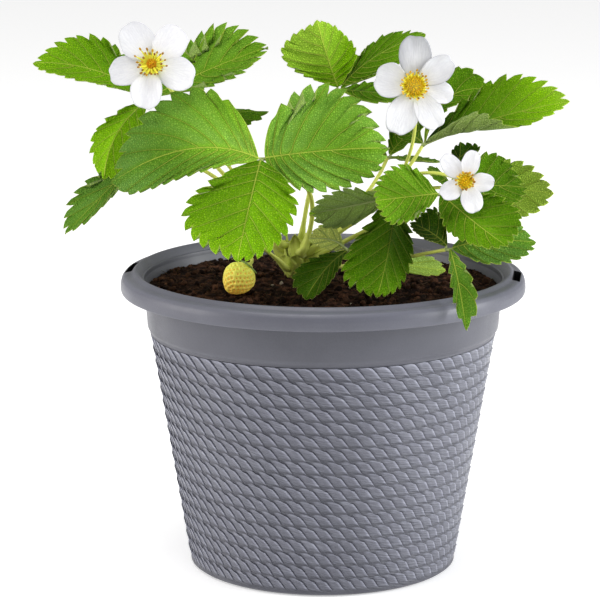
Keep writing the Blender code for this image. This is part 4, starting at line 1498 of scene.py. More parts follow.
def build_stem(name, path, radius, end_radius, settings, nodes, groove=0.0, ends=()):
    """A stem with a sheath that widens into the crown, fine hairs and the pieces at its end."""
    inwards = np.array((CROWN_AXIS.x, CROWN_AXIS.y, path[0][2])) - path[0]
    path = resampled([path[0] + unit(inwards) * SHEATH_REACH, *path], STEM_RINGS)
    along = lengths_along(path)
    share = along / along[-1]
    radii = radius + (end_radius - radius) * share
    radii *= 1 + 1.2 * (1 - smooth_step(along, 0.001, SHEATH_LENGTH))
    stem = tube(name + "_stem", path, radii, STEM_SIDES, groove=groove)
    set_attribute(stem, "along", np.repeat(share, STEM_SIDES))
    girth = np.tile(np.abs(np.arange(STEM_SIDES) / STEM_SIDES - 0.5) * 2 * np.pi * radius, STEM_RINGS)
    set_uv(stem, np.stack([np.repeat(along, STEM_SIDES), girth], 1))
    paint(stem, "Stem skin")
    hairs = grow_hairs(name + "_hair", path, radii, settings.hairs)
    settle(join([stem, *ends, hairs], name + "_stem"), *nodes, slot="stem")


def grow_hairs(name, path, radii, count, length=0.0011):
    """Fine hairs that stand off a stem."""
    draw = seeded(name + " hairs")
    ahead = unit(np.gradient(path, axis=0))
    places = []
    for _ in range(count):
        at = draw.uniform(2, len(path) - 4)
        i = int(at)
        out = unit(np.cross(ahead[i], draw.normal(size=3)))
        point = path[i] + (path[i + 1] - path[i]) * (at - i) + out * radii[i] * 0.95
        front = unit(out + ahead[i] * draw.uniform(0.1, 0.5))
        right = unit(np.cross(front, ahead[i]))
        places.append(placing(point, right, front, length * draw.uniform(0.6, 1.2)))
    return scatter_hairs(name, places, draw)


def build_petiole(name, settings):
    """One leaf stem with a channel along its upper side, stouter where it is longer."""
    path = petiole_path(name)
    radius = PETIOLE_RADIUS + PETIOLE_GAIN * min(lengths_along(path)[-1], PETIOLE_LONG) / PETIOLE_LONG
    build_stem(name, path, radius, PETIOLE_END, settings, [name], groove=0.22)


def sepal_points(length, width, droop):
    """A small pointed blade in its own frame: x across, y along and z upwards."""
    t, v = np.meshgrid(np.linspace(0, 1, SEPAL_ROWS), np.linspace(-1, 1, SEPAL_COLUMNS), indexing="ij")
    half = width / 2 * np.sin(np.pi * (0.16 + 0.84 * t) ** 0.85) ** 0.75 * (1 - t ** 4) ** 1.6
    x = half * v
    z = 0.22 * (x / width * 2) ** 2 * width - droop * length * t ** 2 - 0.05 * width * np.exp(-(v / 0.2) ** 2)
    return np.stack([x, length * t, z], -1).reshape(-1, 3), t.ravel(), v.ravel()


def build_calyx(name, centre, axes, tips, path, settings, nodes, back, broad=1.0):
    """Five sepals with five narrow bractlets between them, on a cup at the end of their stalk."""
    right, up, front = axes
    draw = seeded(name)
    reach = np.mean([np.linalg.norm(tip - centre) for tip in tips])
    turns = sorted(math.atan2((tip - centre) @ up, (tip - centre) @ right) for tip in tips)
    pieces = []
    for number in range(2 * len(turns)):
        narrow = number % 2 == 1
        turn = turns[number // 2] + (math.pi / len(turns) if narrow else 0.0)
        turn += draw.normal() * 0.05
        length = reach * (0.86 if narrow else 1.0) * draw.uniform(0.93, 1.05)
        width = broad * reach * (0.20 if narrow else 0.42)
        points, t, v = sepal_points(length, width, back * draw.uniform(0.8, 1.3))
        out = right * math.cos(turn) + up * math.sin(turn)
        foot = centre - front * (0.0005 if narrow else 0.0001)
        sepal = mesh_piece("sepal", foot + points @ np.stack([np.cross(out, front), out, front]),
                           sheet_faces(SEPAL_ROWS, SEPAL_COLUMNS))
        set_uv(sepal, np.stack([t * length, v * width / 2], 1))
        set_attribute(sepal, "along", t)
        set_attribute(sepal, "tone", np.full(len(t), draw.random()))
        finish_mesh(sepal, 2e-5)
        apply_modifier(sepal, "SOLIDIFY", "flesh", thickness=SEPAL_THICKNESS, offset=0.0)
        pieces.append(sepal)
    calyx = join(pieces, name + "_calyx")
    paint(calyx, "Sepal skin")
    settle(calyx, *nodes, slot="stem")
    cup_path = [path[-2], path[-1], path[-1] + (centre - path[-1]) * 0.55, centre]
    cup = tube("cup", resampled(cup_path, len(CUP_RADII)), CUP_RADII, 16, up)
    set_attribute(cup, "along", np.ones(len(cup.data.vertices)))
    set_uv(cup, coordinates(cup)[:, :2])
    paint(cup, "Stem skin")
    build_stem(name, path, STALK_RADIUS, STALK_RADIUS, settings, nodes, ends=[cup])


# Leaflets

VEIN_SWEEP = 2.8                # how far forwards a side vein runs before it reaches the margin
VEIN_SWEEPS = {"leaf_1_left": 4.2, "leaf_1_right": 4.2, "leaf_4_middle": 3.6}
ROWS_PER_TOOTH = 8
ROWS_PER_VEIN = 12
HALF_COLUMNS = 15
LEAFLET_SKINS = ("Leaf upper side", "Leaf underside", "Midrib skin")
LEAFLET_LOOKS = (
    # for the middle, left and right leaflet of each leaf: tone from old to young green, darker as painted
    # shade where others shade the leaflet, tooth depth factor, cross curve and margin wave in mm
    ((0.47, 1.0, 0.05, 0.5), (0.47, 0.8, 0.06, 0.4), (0.47, 1.3, 0.05, 0.4)),
    ((0.47, 0.9, 0.04, 0.5), (0.54, 0.9, 0.05, 0.5), (0.44, 2.8, 0.02, 0.4)),
    ((0.54, 0.9, 0.03, 0.4), (0.30, 2.0, 0.04, 0.5), (0.16, 1.0, 0.03, 0.4)),
    ((0.36, 0.8, 0.05, 0.6), (0.68, 0.5, 0.05, 0.4), (0.42, 1.0, 0.03, 0.4)),
    ((0.25, 0.9, 0.03, 0.5), (0.24, 0.9, 0.03, 0.4), (0.32, 1.0, 0.04, 0.5)),
    ((0.36, 0.9, 0.03, 0.3), (0.34, 0.9, 0.03, 0.3), (0.30, 0.9, 0.03, 0.2)),
    ((0.31, 0.8, 0.05, 0.5), (0.46, 1.1, 0.05, 0.4), (0.22, 0.9, 0.04, 0.4)),
    ((0.10, 1.3, 0.03, 0.3), (0.14, 0.9, 0.03, 0.3), (0.92, 1.1, 0.03, 0.5)),
    ((0.28, 1.1, 0.04, 0.5), (0.09, 1.0, 0.03, 0.3), (0.37, 1.6, 0.03, 0.4)),
    ((0.24, 1.0, 0.06, 0.5), (0.50, 1.2, 0.04, 0.9), (0.26, 0.9, 0.03, 0.3)),
    ((0.12, 0.9, 0.04, 0.3), (1.0, 1.0, 0.03, 0.3), (0.95, 0.9, 0.03, 0.3)),
)
LOOK_OF = {f"leaf_{number}_{part}": look for number, looks in enumerate(LEAFLET_LOOKS, 1)
           for part, look in zip(LEAFLET_PARTS, looks)}
# Painted light along a leaflet: how fast its tone rises from base to tip; the rest take 0.06.
PAINTED_LIGHT_SLOPES = {"leaf_1_middle": 0.30, "leaf_1_left": -0.48, "leaf_5_right": 0.95, "leaf_10_middle": 0.34}
# Painted sheen: how strongly the upper side of each leaflet is paled towards the sheen colour.
PAINTED_SHEENS = {"leaf_1_left": 0.24, "leaf_1_right": 0.26, "leaf_2_right": 0.15, "leaf_3_left": 0.20,
          "leaf_7_left": 0.08, "leaf_9_middle": 0.20, "leaf_9_right": 0.30, "leaf_11_right": 0.45}
ROLLED_HALVES = {
    # half that rolls up, station where the roll ends, and how far it rolls in degrees
    "leaf_5_right": ("right", 0.78, 150),
    "leaf_4_left": ("right", 0.85, 60),
}


def half_grid(name, side, rib_at, direction, reach, settings, teeth):
    """Points of one half of a leaflet, with the height that its pleats and teeth add.

    Rows follow the side veins, which run forwards from the midrib into the teeth; columns run
    from the midrib to the margin.
    """
    tone, depth, cross, wave = LOOK_OF[name]
    draw = seeded(name + side)
    rows = teeth * ROWS_PER_TOOTH + 1
    s = np.linspace(0, 1, rows)[:, None]
    r = (np.linspace(0, 1, HALF_COLUMNS) ** 0.92)[None, :]
    stations = np.append(PLAIN_STATIONS, 1.0)

    def half_width(u):
        return np.maximum(smooth_curve(u, stations, np.maximum(reach, 0) ** 1.5), 0) ** (1 / 1.5)

    fine = np.linspace(0, 1, 400)
    outline = rib_at(fine) + direction * half_width(fine)[:, None]
    length = lengths_along(outline)
    at_margin = np.interp(s ** 0.92 * length[-1], length, fine)
    at_rib = 1 - (1 - at_margin) ** (1 / VEIN_SWEEPS.get(name, VEIN_SWEEP))
    u = at_rib + (at_margin - at_rib) * r ** 1.25
    half = half_width(at_margin)
    widest = reach.max()
    lateral = half * r
    turn = np.zeros_like(lateral)
    if name in ROLLED_HALVES and ROLLED_HALVES[name][0] == side:
        _, end, degrees = ROLLED_HALVES[name]
        turn = math.radians(degrees) * (1 - smooth_step(at_margin, 0.35 * end, end)) * np.ones_like(r)
    bent = np.maximum(turn, 1e-6)
    chord = unit(rib_at(1.0) - rib_at(0.0))
    lift_axis = unit(np.cross(chord, direction)) * (1 if side == "left" else -1)
    sideways = half * np.sin(bent * r) / bent
    rise = half * (1 - np.cos(bent * r)) / bent
    grid = rib_at(u) + direction * sideways[..., None] + lift_axis * rise[..., None]

    edge = grid[:, -1]
    tangent = unit(np.gradient(edge, axis=0))
    normal = np.cross(np.gradient(grid, axis=0), np.gradient(grid, axis=1))
    normal = unit(normal) * (-1 if side == "left" else 1)
    normal[0] = normal[1]
    normal[-1] = normal[-2]
    outward = unit(np.cross(tangent, normal[:, -1])) * (1 if side == "left" else -1)

    phase = (s * teeth)[:, 0]
    part = phase - np.floor(phase + 1e-6)
    rising = 1 - (1 - np.clip((part - 0.25) / 0.75, 0, 1)) ** 1.35
    tooth = np.where(part < 0.25, 1 - part / 0.25, rising)
    size = np.repeat(draw.uniform(0.7, 1.3, teeth + 1), ROWS_PER_TOOTH)[:rows]
    toothed = smooth_step(at_margin[:, 0], 0.14, 0.30)
    cut = settings.tooth * depth * widest * toothed * size * (1 - tooth)
    near_tip = np.maximum(0, 1 - np.minimum(part, 1 - part) / 0.25) * toothed
    near_tip[-1] = 0.4
    forward = 0.45 * settings.tooth * depth * widest * near_tip
    push = tangent * forward[:, None] - outward * cut[:, None]
    grid = grid + push[:, None, :] * (r[0] ** 2.4)[None, :, None]

    phase = (s * (rows - 1) / ROWS_PER_VEIN)[:, 0]
    pleat = np.abs(np.sin(np.pi * phase))[:, None] ** 0.6 * smooth_step(lateral, 0.0004, 0.0065)
    pleat = pleat * (1 - 0.30 * r) * (0.35 + 0.65 * smooth_step(at_margin, 0.05, 0.3))
    height = settings.pleat * min(1.0, widest / 0.016) * pleat
    height = height + 0.00045 * (1 - np.exp(-(lateral / 0.0013) ** 2))
    height = height + cross * half * 4 * r * (1 - r)
    ripple = np.sin(2 * np.pi * (1.2 * s + draw.random()))
    ripple = ripple + 0.6 * np.sin(2 * np.pi * (2.6 * s + draw.random()))
    height = height + wave * MM * ripple * r ** 2 * smooth_step(at_margin, 0.1, 0.4)
    height = height - 0.05 * half * r ** 3
    grid = grid + normal * height[..., None]
    grid[0] = rib_at(0.0) + direction * lateral[0][:, None]
    grid[-1] = rib_at(1.0)

    nearest = np.round(phase).astype(int) * ROWS_PER_VEIN
    vein_rows = grid[np.clip(nearest, 0, rows - 1)]
    along = unit(np.gradient(grid, axis=1))[np.clip(nearest, 0, rows - 1)]
    gap = grid - vein_rows
    gap = gap - (gap * along).sum(-1, keepdims=True) * along
    vein_gap = np.linalg.norm(gap, axis=-1) / (1.15 - 0.65 * r)
    rib_gap = lateral / (0.30 + 0.80 * (1 - u))
    margin_gap = np.linalg.norm(grid - grid[:, -1:], axis=-1)
    measures = np.stack([vein_gap, rib_gap, margin_gap], -1) / MM
    patches = np.array([[noise.noise(Vector(point) * 34) for point in row] for row in grid])
    # The tone varies at random and changes from base to tip as painted light and shade.
    tones = np.clip(tone + 0.16 * patches + PAINTED_LIGHT_SLOPES.get(name, 0.06) * (u - 0.5), 0, 1)
    # Painted sheen, strongest on the raised pleats and varying at random.
    painted_sheen = PAINTED_SHEENS.get(name, 0.0) * (0.35 + 0.65 * pleat) * np.clip(1 + patches, 0, 2)
    return grid, measures, tones, painted_sheen


def grow_fringe(name, grid, count):
    """Short hairs that stand out from both margins of a leaflet."""
    draw = seeded(name + " fringe")
    places = []
    for number in range(count):
        edge, inner = ((0, 1), (-1, -2))[number % 2]
        at = draw.integers(len(grid) // 8, len(grid) - 1)
        out = unit(grid[at, edge] - grid[at, inner])
        ahead = unit(grid[at + 1, edge] - grid[at - 1, edge])
        front = unit(out + ahead * draw.uniform(0.0, 0.9) + draw.normal(size=3) * 0.15)
        size = np.array((0.0012, 0.0012, 0.0010)) * draw.uniform(0.5, 1.2)
        places.append(placing(grid[at, edge] - out * 0.0001, unit(np.cross(front, ahead)), front, size))
    return scatter_hairs("fringe", places, draw)


def build_leaflet(name, petiole_end, settings):
    """One leaflet: a thin pleated blade with veins, teeth, a paler underside and a midrib."""
    rib_at, halves = read_leaflet(name, petiole_end)
    widest = max(reach.max() for _, reach in halves.values())
    teeth = settings.teeth + (3 if widest > 0.019 else 0 if widest > 0.009 else -3)
    left = half_grid(name, "left", rib_at, *halves["left"], settings, teeth)
    right = half_grid(name, "right", rib_at, *halves["right"], settings, teeth)
    grid, measures, tones, painted_sheen = (np.concatenate([a[:, :0:-1], b], 1) for a, b in zip(left, right))
    rows, columns = grid.shape[:2]
    blade = mesh_piece(name + "_blade", grid.reshape(-1, 3), sheet_faces(rows, columns))
    set_attribute(blade, "veins", measures.reshape(-1, 3), "FLOAT_VECTOR")
    set_attribute(blade, "tone", tones.ravel())
    set_attribute(blade, "painted_sheen", painted_sheen.ravel())
    finish_mesh(blade, 2e-6, outwards=False)
    paint(blade, *LEAFLET_SKINS)
    apply_modifier(blade, "SOLIDIFY", "flesh", thickness=settings.thickness, offset=0.0,
                   material_offset=1, use_even_offset=False)

    chord = unit(rib_at(1.0) - rib_at(0.0))
    up = unit(np.cross(chord, halves["left"][0] - halves["right"][0]))
    u = np.linspace(0, 0.97, 26)
    path = rib_at(u) - up * (0.00028 + 0.00050 * (1 - u) ** 1.4)[:, None]
    path = np.concatenate([[np.asarray(petiole_end) - up * 0.0001], path])
    radii = np.concatenate([[0.00078], 0.00016 + 0.00044 * (1 - u) ** 1.4])
    midrib = tube("midrib", path, radii, 8, up)
    set_attribute(midrib, "along", np.ones(len(midrib.data.vertices)))
    midrib.data.polygons.foreach_set("material_index", [2] * len(midrib.data.polygons))
    paint(midrib, *LEAFLET_SKINS)
    return join([blade, midrib, grow_fringe(name, grid, settings.fringe)], name + "_blade")


def build_leaf(number, settings):
    """The three leaflets of one leaf."""
    petiole_end = petiole_path(f"leaf_{number}_petiole")[-1]
    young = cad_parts[f"leaf_{number}_middle"].data.materials[0].name.startswith("young")
    for part in LEAFLET_PARTS:
        name = f"leaf_{number}_{part}"
        leaflet = build_leaflet(name, petiole_end, settings)
        settle(leaflet, name, slot="young_leaf" if young else "leaf")


# Flowers

PETAL_RINGS = 12
PETAL_WIDTHS = {"flower_1": 1.05, "flower_2": 1.18, "flower_3": 0.98}
# Painted shade of each flower: the direction, in degrees, of the petals painted darkest and how much darker
# they are.
PETAL_PAINTED_SHADE = {"flower_1": (175, 0.34), "flower_2": (95, 0.80), "flower_3": (150, 0.15)}
PETAL_TURNS = 44
PETAL_CENTRE = 0.56             # where a petal is widest, as a share of its length


def petal_outline(turn, length, width):
    """Outline of a broad round petal around a point inside it: x across and y along."""
    x, y = np.cos(turn), np.sin(turn)
    reach = np.where(y > 0, 1 - PETAL_CENTRE, PETAL_CENTRE)
    narrow = np.where(y < 0, 1 - np.abs(y) ** 1.7 * 0.84, 1.0)
    notch = 0.03 * np.exp(-((turn - np.pi / 2) / 0.22) ** 2)
    along = PETAL_CENTRE + np.sign(y) * np.abs(y) ** 0.95 * reach - notch
    return np.sign(x) * np.abs(x) ** 0.92 * width / 2 * narrow, along * length


def build_petal(name, centre, axes, turn, length, width, number, settings):
    """One cupped, ruffled petal."""
    right, up, front = axes
    draw = seeded(name)
    around = 2 * np.pi * np.arange(PETAL_TURNS) / PETAL_TURNS
    edge_x, edge_y = petal_outline(around, length, width)
    wobble = 1 + 0.022 * np.sin(3 * around + draw.random() * 6)
    wobble += 0.012 * np.sin(7 * around + draw.random() * 6)
    share = np.linspace(0, 1, PETAL_RINGS + 1)[1:, None]
    middle = PETAL_CENTRE * length
    x = np.append(0.0, edge_x * wobble * share)
    y = np.append(middle, middle + (edge_y - middle) * wobble * share)
    out = np.append(0.0, np.repeat(share, PETAL_TURNS))
    bearing = np.append(0.0, np.tile(around, PETAL_RINGS))
    twist = 0.05 * (1 if number % 2 else -1) + 0.02 * draw.normal()
    cup = draw.uniform(0.05, 0.16)
    lift = 3.0 * (x ** 2 + y ** 2) + cup * x ** 2 / width * 2 + twist * x
    lift += 0.0007 * out ** 3 * np.sin(2 * bearing + draw.random() * 6)
    lift += 0.00035 * out ** 3 * np.sin(5 * bearing + draw.random() * 6)
    fold = draw.uniform(-0.3, 0.3) * width
    lift -= 0.00045 * np.exp(-((x - fold) / (0.10 * width)) ** 2) * out
    lift += 0.00025 * (number % 2)
    ahead = right * math.cos(turn) + up * math.sin(turn)
    points = centre + np.stack([x, y, lift], 1) @ np.stack([np.cross(ahead, front), ahead, front])
    faces = [(0, 1 + i, 1 + (i + 1) % PETAL_TURNS) for i in range(PETAL_TURNS)]
    for ring in range(PETAL_RINGS - 1):
        start = 1 + ring * PETAL_TURNS
        for i in range(PETAL_TURNS):
            beside = (i + 1) % PETAL_TURNS
            faces.append((start + i, start + PETAL_TURNS + i, start + PETAL_TURNS + beside, start + beside))
    petal = mesh_piece(name, points, faces)
    set_uv(petal, np.stack([y / length, np.arctan2(x, y + 0.25 * length)], 1))
    set_attribute(petal, "claw", 1 - smooth_step(y, 0.10 * length, 0.34 * length))
    # Painted shade on the petals that point that way, growing towards their rim; every petal is also darker
    # at its very rim.
    towards, amount = PETAL_PAINTED_SHADE[name[:8]]
    shaded = amount * max(0.0, math.cos(turn - math.radians(towards)))
    set_attribute(petal, "tone", shaded * (0.4 + 0.6 * out) + 0.20 * smooth_step(out, 0.88, 1.0))
    apply_modifier(petal, "SOLIDIFY", "flesh", thickness=settings.thickness, offset=0.0)
    paint(petal, "White petal")
    return petal


def build_petals(flower, settings):
    """The separate petals of one flower."""
    centre, axes, lobes = corolla_frame(flower)
    order = sorted(lobes)
    for number, (turn, length) in enumerate(order):
        before = (turn - order[number - 1][0]) % 360
        after = (order[(number + 1) % len(order)][0] - turn) % 360
        room = 2 * length * 0.60 * math.sin(math.radians(min(before, after, 74) / 2))
        width = min(PETAL_WIDTHS[flower] * room, 0.98 * length)
        name = f"{flower}_petal_{number + 1}"
        petal = build_petal(name, centre, axes, math.radians(turn), length, width, number, settings)
        settle(petal, flower + "_petals", slot="petal")


HEARTS = {
    # as shares of the heart's radius: disc radius, dome radius, dome height and filament length;
    # then the filaments' lean, the tones of pistils and anthers, and the filaments' radius in mm
    "flower_1": (0.68, 0.30, 0.26, 0.84, 1.00, 0.80, 0.06, 0.78),
    "flower_2": (0.72, 0.54, 0.48, 0.56, 0.66, 0.10, 0.60, 0.46),
    "flower_3": (0.72, 0.44, 0.40, 0.56, 0.80, 0.00, 0.50, 0.46),
}


def dome_point(share, turn, radius, height):
    """A point and a normal on the dome, in the flower's frame."""
    slope = share * np.pi / 2
    point = np.array((radius * math.sin(slope) * math.cos(turn), radius * math.sin(slope) * math.sin(turn),
                      height * math.cos(slope)))
    normal = unit(point / np.array((radius ** 2, radius ** 2, height ** 2)))
    return point, normal


def finish_ball(ball, points, attribute_name, values, material):
    """Give a ball its shape, one attribute and its material."""
    set_coordinates(ball, points)
    set_attribute(ball, attribute_name, values)
    ball.data.shade_smooth()
    paint(ball, material)


def grow_pistils(drop, draw, base, turn_in, dome, tone, count):
    """Pistils in a spiral over the dome."""
    places, tones = [], []
    for i in range(count):
        share = math.acos(1 - (i + 0.5) / count) / (np.pi / 2)
        point, normal = dome_point(share, i * GOLDEN_ANGLE, *dome)
        normal = unit(normal + draw.normal(size=3) * 0.30)
        right = facing_frame(normal, up=(0.3, 1, 0.1))[0]
        size = np.array((0.00028, 0.00028, 0.00080)) * draw.uniform(0.7, 1.3)
        places.append(placing(base + turn_in @ (point + normal * 0.0004), turn_in @ right,
                              turn_in @ normal, size))
        tones.append(np.clip(tone + draw.normal() * 0.32 - 0.2 * share, 0, 1))
    pistils = scatter("pistils", [drop], places, tones)
    paint(pistils, "Pistil")
    return pistils


def grow_stamens(drop, draw, base, turn_in, dome, reach, lean, stout, tone, count):
    """A ring of filaments around the dome, each with an anther at its end."""
    filaments, places, tones = [], [], []
    t = np.linspace(0, 1, 6)[:, None]
    for i in range(count):
        turn = 2 * np.pi * (i + draw.uniform(-0.3, 0.3)) / count
        length = reach * (0.62 + 0.42 * (i % 2) + 0.12 * draw.normal())
        start, _ = dome_point(0.95 - 0.30 * (i % 2) * draw.random(), turn, dome[0] * 1.02, dome[1])
        out = np.array((math.cos(turn), math.sin(turn), 0))
        bend = lean * draw.uniform(0.75, 1.1)
        path = start + length * (out * np.sin(bend * t) + np.array((0, 0, 1)) * t * math.cos(bend) * 1.1)
        world = base + path @ turn_in.T
        filament = tube("filament", world, np.linspace(stout, 0.16, 6) * MM, 5, turn_in[:, 1])
        set_attribute(filament, "tone", np.full(30, draw.random()))
        filaments.append(filament)
        ahead = unit(path[-1] - path[-2])
        right = facing_frame(ahead, up=(0.2, 0.1, 1))[0]
        size = np.array((0.00060, 0.00042, 0.00092)) * draw.uniform(0.8, 1.15)
        places.append(placing(world[-1], turn_in @ right, turn_in @ ahead, size))
        tones.append(np.clip(tone + 0.3 * draw.normal(), 0, 1))
    stalks = join(filaments, "filaments")
    paint(stalks, "Filament")
    anthers = scatter("anthers", [drop], places, tones)
    paint(anthers, "Anther")
    return stalks, anthers


def build_heart(flower, settings):
    """The dome with its pistils, the disc under it and the ring of stamens around it."""
    centre, (right, up, front), _ = corolla_frame(flower)
    low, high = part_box(flower + "_heart")
    radius = (high.x - low.x) / 2
    disc_share, dome_share, rise, filament, lean, pistil_tone, anther_tone, stout = HEARTS[flower]
    dome_size = (dome_share * radius, rise * radius)
    base = centre + front * 0.0006
    turn_in = np.stack([right, up, front], 1)
    draw = seeded(flower + " heart")

    dome = added(bpy.ops.mesh.primitive_uv_sphere_add, segments=32, ring_count=18, radius=1.0)
    points = coordinates(dome) * (dome_size[0], *dome_size)
    finish_ball(dome, base + points @ turn_in.T, "tone", np.full(len(points), 0.3), "Flower dome")

    disc = added(bpy.ops.mesh.primitive_uv_sphere_add, segments=32, ring_count=10, radius=1.0)
    points = coordinates(disc)
    turn = np.arctan2(points[:, 1], points[:, 0])
    points[:, :2] *= (disc_share * radius * (1 + 0.10 * np.sin(11 * turn)))[:, None]
    points[:, 2] *= 0.0007
    tones = np.clip(0.5 + 0.5 * np.sin(9 * turn), 0, 1)
    finish_ball(disc, base + points @ turn_in.T, "tone", tones, "Filament")

    drop = added(bpy.ops.mesh.primitive_uv_sphere_add, segments=6, ring_count=5, radius=1.0)
    pistils = grow_pistils(drop, draw, base, turn_in, dome_size, pistil_tone, settings.pistils)
    stamens = grow_stamens(drop, draw, base, turn_in, dome_size, radius * filament, lean, stout,
                           anther_tone, settings.stamens)
    remove(drop)
    heart = join([dome, disc, pistils, *stamens], flower + "_stamens")
    settle(heart, flower + "_heart", slot="heart")


def build_flower_stalk(flower, settings):
    """The stalk and calyx of one flower."""
    path, tips = stalk_path(flower + "_stalk")
    centre, axes, _ = corolla_frame(flower)
    build_calyx(flower, centre - axes[2] * 0.0011, axes, tips, path, settings, [flower + "_stalk"], 0.05)


# Berry

BERRY_PROFILE = ((0.0, 1.0), (0.45, 0.93), (0.80, 0.68), (1.0, 0.28), (0.97, -0.12), (0.78, -0.5),
                 (0.50, -0.8), (0.0, -1.0))
BERRY_BULGE = (1, 1, 0.75)      # turns a place on the berry into the direction in which its skin faces
DIMPLE_RADIUS = 0.00068
ACHENE_SIZE = (0.00030, 0.00048, 0.00024)


def berry_frame():
    """Centre, axes, radius and half length of the CAD berry."""
    shape = merged_copy("fruit")
    poles = sorted((np.array(v.co) for v in hubs(shape)), key=lambda p: p[2])
    centre = (poles[0] + poles[-1]) / 2
    half = np.linalg.norm(poles[-1] - poles[0]) / 2
    axes = facing_frame(poles[-1] - poles[0], up=(0, 1, 0))
    radius = max(np.linalg.norm(np.cross(np.array(v.co) - centre, axes[2])) for v in shape.verts)
    shape.free()
    return centre, axes, radius, half


def berry_radius(along):
    """Radius of the berry, as a share, at -1 (tip) to 1 (calyx) along its axis."""
    table = sorted((y, x) for x, y in BERRY_PROFILE)
    heights, radii = np.array(table).T
    return np.sqrt(np.maximum(smooth_curve(along, heights, radii ** 2), 0))


def build_berry(settings):
    """The berry with a seed in each of its dimples."""
    centre, axes, radius, half = berry_frame()
    turn_in = np.stack(axes, 1)
    draw = seeded("berry")
    berry = added(bpy.ops.mesh.primitive_uv_sphere_add, segments=120, ring_count=84, radius=1.0)
    points = coordinates(berry)
    turn = np.arctan2(points[:, 1], points[:, 0])
    across = berry_radius(points[:, 2]) * radius
    body = np.stack([across * np.cos(turn), across * np.sin(turn), points[:, 2] * half], 1)
    seeds = []
    for i in range(settings.achenes):
        level = 0.93 - 1.88 * (i + 0.5) / settings.achenes
        bearing = i * GOLDEN_ANGLE + draw.normal() * 0.05
        seeds.append(around_axis(float(berry_radius(level)) * radius, bearing, level * half))
    seeds = np.array(seeds)
    away = np.min([np.linalg.norm(body - seed, axis=1) for seed in seeds], axis=0)
    sink = np.exp(-(away / DIMPLE_RADIUS) ** 2)
    body = body - unit(body * BERRY_BULGE) * (settings.dimple * (sink - 0.35))[:, None]
    ripe = np.clip(0.30 - 0.35 * body[:, 2] / half + 0.20 * np.sin(turn + 1.0) + 0.75 * sink ** 2, 0, 1)
    finish_ball(berry, centre + body @ turn_in.T, "ripe", ripe, "Unripe berry")

    grain = added(bpy.ops.mesh.primitive_uv_sphere_add, segments=8, ring_count=6, radius=1.0)
    places = []
    for seed in seeds:
        normal = unit(seed * BERRY_BULGE)
        right = facing_frame(normal, up=(0, 0.05, 1))[0]
        spot = seed - normal * (settings.dimple * 0.52)
        places.append(placing(centre + turn_in @ spot, turn_in @ right, turn_in @ normal, ACHENE_SIZE))
    achenes = scatter("achenes", [grain], places, draw.random(len(places)))
    remove(grain)
    paint(achenes, "Achene")
    settle(join([berry, achenes], "berry"), "fruit", slot="fruit")


def build_berry_stalk(settings):
    """The berry's arching stalk and its turned-back calyx."""
    path, tips = stalk_path("fruit_stalk")
    centre, (_, _, front), _, half = berry_frame()
    foot = centre + front * (half + 0.0004)
    build_calyx("berry", foot, facing_frame(-front, up=(0, 1, 0)), tips, path, settings,
                ["fruit_stalk"], -0.16, broad=1.5)


# Operators

class STRAWBERRY_OT_stage(bpy.types.Operator):
    """Set up the camera, the pale floor and the studio light"""
    bl_idname = "strawberry.stage"
    bl_label = "Stage"

    def execute(self, context):
        build_stage(context.scene.strawberry_stage)
        return {"FINISHED"}


class STRAWBERRY_OT_materials(bpy.types.Operator):
    """Build the shared node groups and all materials"""
    bl_idname = "strawberry.materials"
    bl_label = "Materials"

    def execute(self, context):
        build_materials(context.scene)
        return {"FINISHED"}


class STRAWBERRY_OT_pot(bpy.types.Operator):
    """Build the moulded pot with its rope relief"""
    bl_idname = "strawberry.pot"
    bl_label = "Pot"

    def execute(self, context):
        build_pot(context.scene.strawberry_pot)
        return {"FINISHED"}


class STRAWBERRY_OT_soil(bpy.types.Operator):
    """Build the bed of peat with its crumbs, fibres and perlite"""
    bl_idname = "strawberry.soil"
    bl_label = "Soil"

    def execute(self, context):
        soil = context.scene.strawberry_soil
        build_soil_bed(soil)
        build_grains("soil_crumbs", soil, soil.crumbs, (0.0004, 0.0024), "Peat crumb", dry=0.9)
        build_grains("soil_perlite", soil, soil.perlite, (0.0006, 0.0017), "Perlite", dry=0.8)
        build_fibres(soil)
        return {"FINISHED"}


class STRAWBERRY_OT_crown(bpy.types.Operator):
    """Build the crown and its papery stipules"""
    bl_idname = "strawberry.crown"
    bl_label = "Crown"

    def execute(self, context):
        build_crown()
        build_stipules()
        return {"FINISHED"}


class STRAWBERRY_OT_petioles(bpy.types.Operator):
    """Build the stems of the leaves"""
    bl_idname = "strawberry.petioles"
    bl_label = "Leaf stems"

    def execute(self, context):
        for number in range(1, LEAF_COUNT + 1):
            build_petiole(f"leaf_{number}_petiole", context.scene.strawberry_stem)
        return {"FINISHED"}


class STRAWBERRY_OT_leaves(bpy.types.Operator):
    """Build the three leaflets of every leaf"""
    bl_idname = "strawberry.leaves"
    bl_label = "Leaflets"

    def execute(self, context):
        for number in range(1, LEAF_COUNT + 1):
            build_leaf(number, context.scene.strawberry_leaf)
        return {"FINISHED"}


class STRAWBERRY_OT_petals(bpy.types.Operator):
    """Build the petals of the flowers"""
    bl_idname = "strawberry.petals"
    bl_label = "Petals"

    def execute(self, context):
        for flower in FLOWERS:
            build_petals(flower, context.scene.strawberry_flower)
        return {"FINISHED"}


class STRAWBERRY_OT_hearts(bpy.types.Operator):
    """Build the pistils and stamens of the flowers"""
    bl_idname = "strawberry.hearts"
    bl_label = "Pistils and stamens"

    def execute(self, context):
        for flower in FLOWERS:
            build_heart(flower, context.scene.strawberry_flower)
        return {"FINISHED"}


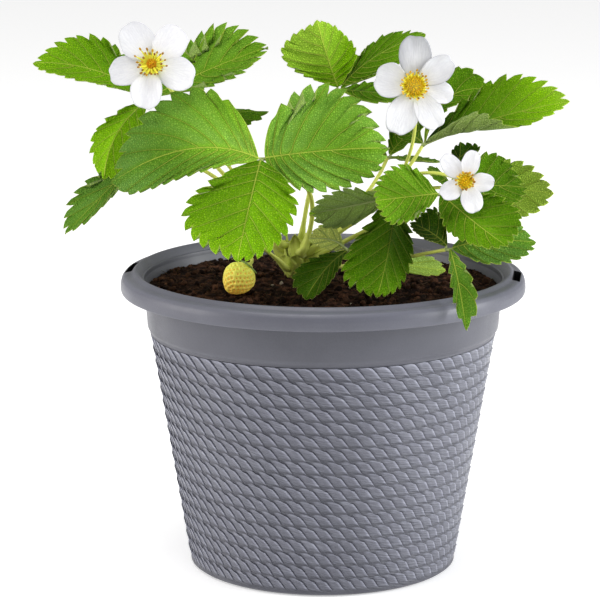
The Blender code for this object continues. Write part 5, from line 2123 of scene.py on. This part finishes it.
class STRAWBERRY_OT_stalks(bpy.types.Operator):
    """Build the stalks and calyces of the flowers and the berry"""
    bl_idname = "strawberry.stalks"
    bl_label = "Stalks and calyces"

    def execute(self, context):
        for flower in FLOWERS:
            build_flower_stalk(flower, context.scene.strawberry_stem)
        build_berry_stalk(context.scene.strawberry_stem)
        return {"FINISHED"}


class STRAWBERRY_OT_berry(bpy.types.Operator):
    """Build the unripe berry with its seeds"""
    bl_idname = "strawberry.berry"
    bl_label = "Berry"

    def execute(self, context):
        build_berry(context.scene.strawberry_fruit)
        return {"FINISHED"}


OPERATORS = (
    STRAWBERRY_OT_materials, STRAWBERRY_OT_stage, STRAWBERRY_OT_pot, STRAWBERRY_OT_soil,
    STRAWBERRY_OT_crown, STRAWBERRY_OT_petioles, STRAWBERRY_OT_stalks, STRAWBERRY_OT_leaves,
    STRAWBERRY_OT_petals, STRAWBERRY_OT_hearts, STRAWBERRY_OT_berry,
)


class STRAWBERRY_PT_panel(bpy.types.Panel):
    """Sizes, colours and builders of the strawberry plant"""
    bl_label = "Potted strawberry"
    bl_idname = "STRAWBERRY_PT_panel"
    bl_space_type = "VIEW_3D"
    bl_region_type = "UI"
    bl_category = "Strawberry"

    def draw(self, context):
        for key, group in SETTINGS.items():
            box = self.layout.box()
            box.label(text=group.__doc__)
            for name in group.__annotations__:
                box.prop(getattr(context.scene, key), name)
        for operator in OPERATORS:
            self.layout.operator(operator.bl_idname)


def register():
    """Register the settings, operators and panel."""
    for key, group in SETTINGS.items():
        bpy.utils.register_class(group)
        setattr(bpy.types.Scene, key, PointerProperty(type=group))
    for operator in OPERATORS:
        bpy.utils.register_class(operator)
    bpy.utils.register_class(STRAWBERRY_PT_panel)


def unregister():
    """Take everything out again."""
    bpy.utils.unregister_class(STRAWBERRY_PT_panel)
    for operator in reversed(OPERATORS):
        bpy.utils.unregister_class(operator)
    for key, group in SETTINGS.items():
        delattr(bpy.types.Scene, key)
        bpy.utils.unregister_class(group)


def main():
    """Build everything in order and measure the size before and after."""
    register()
    for operator in OPERATORS:
        group, name = operator.bl_idname.split(".")
        getattr(getattr(bpy.ops, group), name)()
    boxes = {"cad": CAD_BOX, "visual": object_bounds()}
    {key: [list(low), list(high)] for key, (low, high) in boxes.items()}


if __name__ == "__main__":
    main()
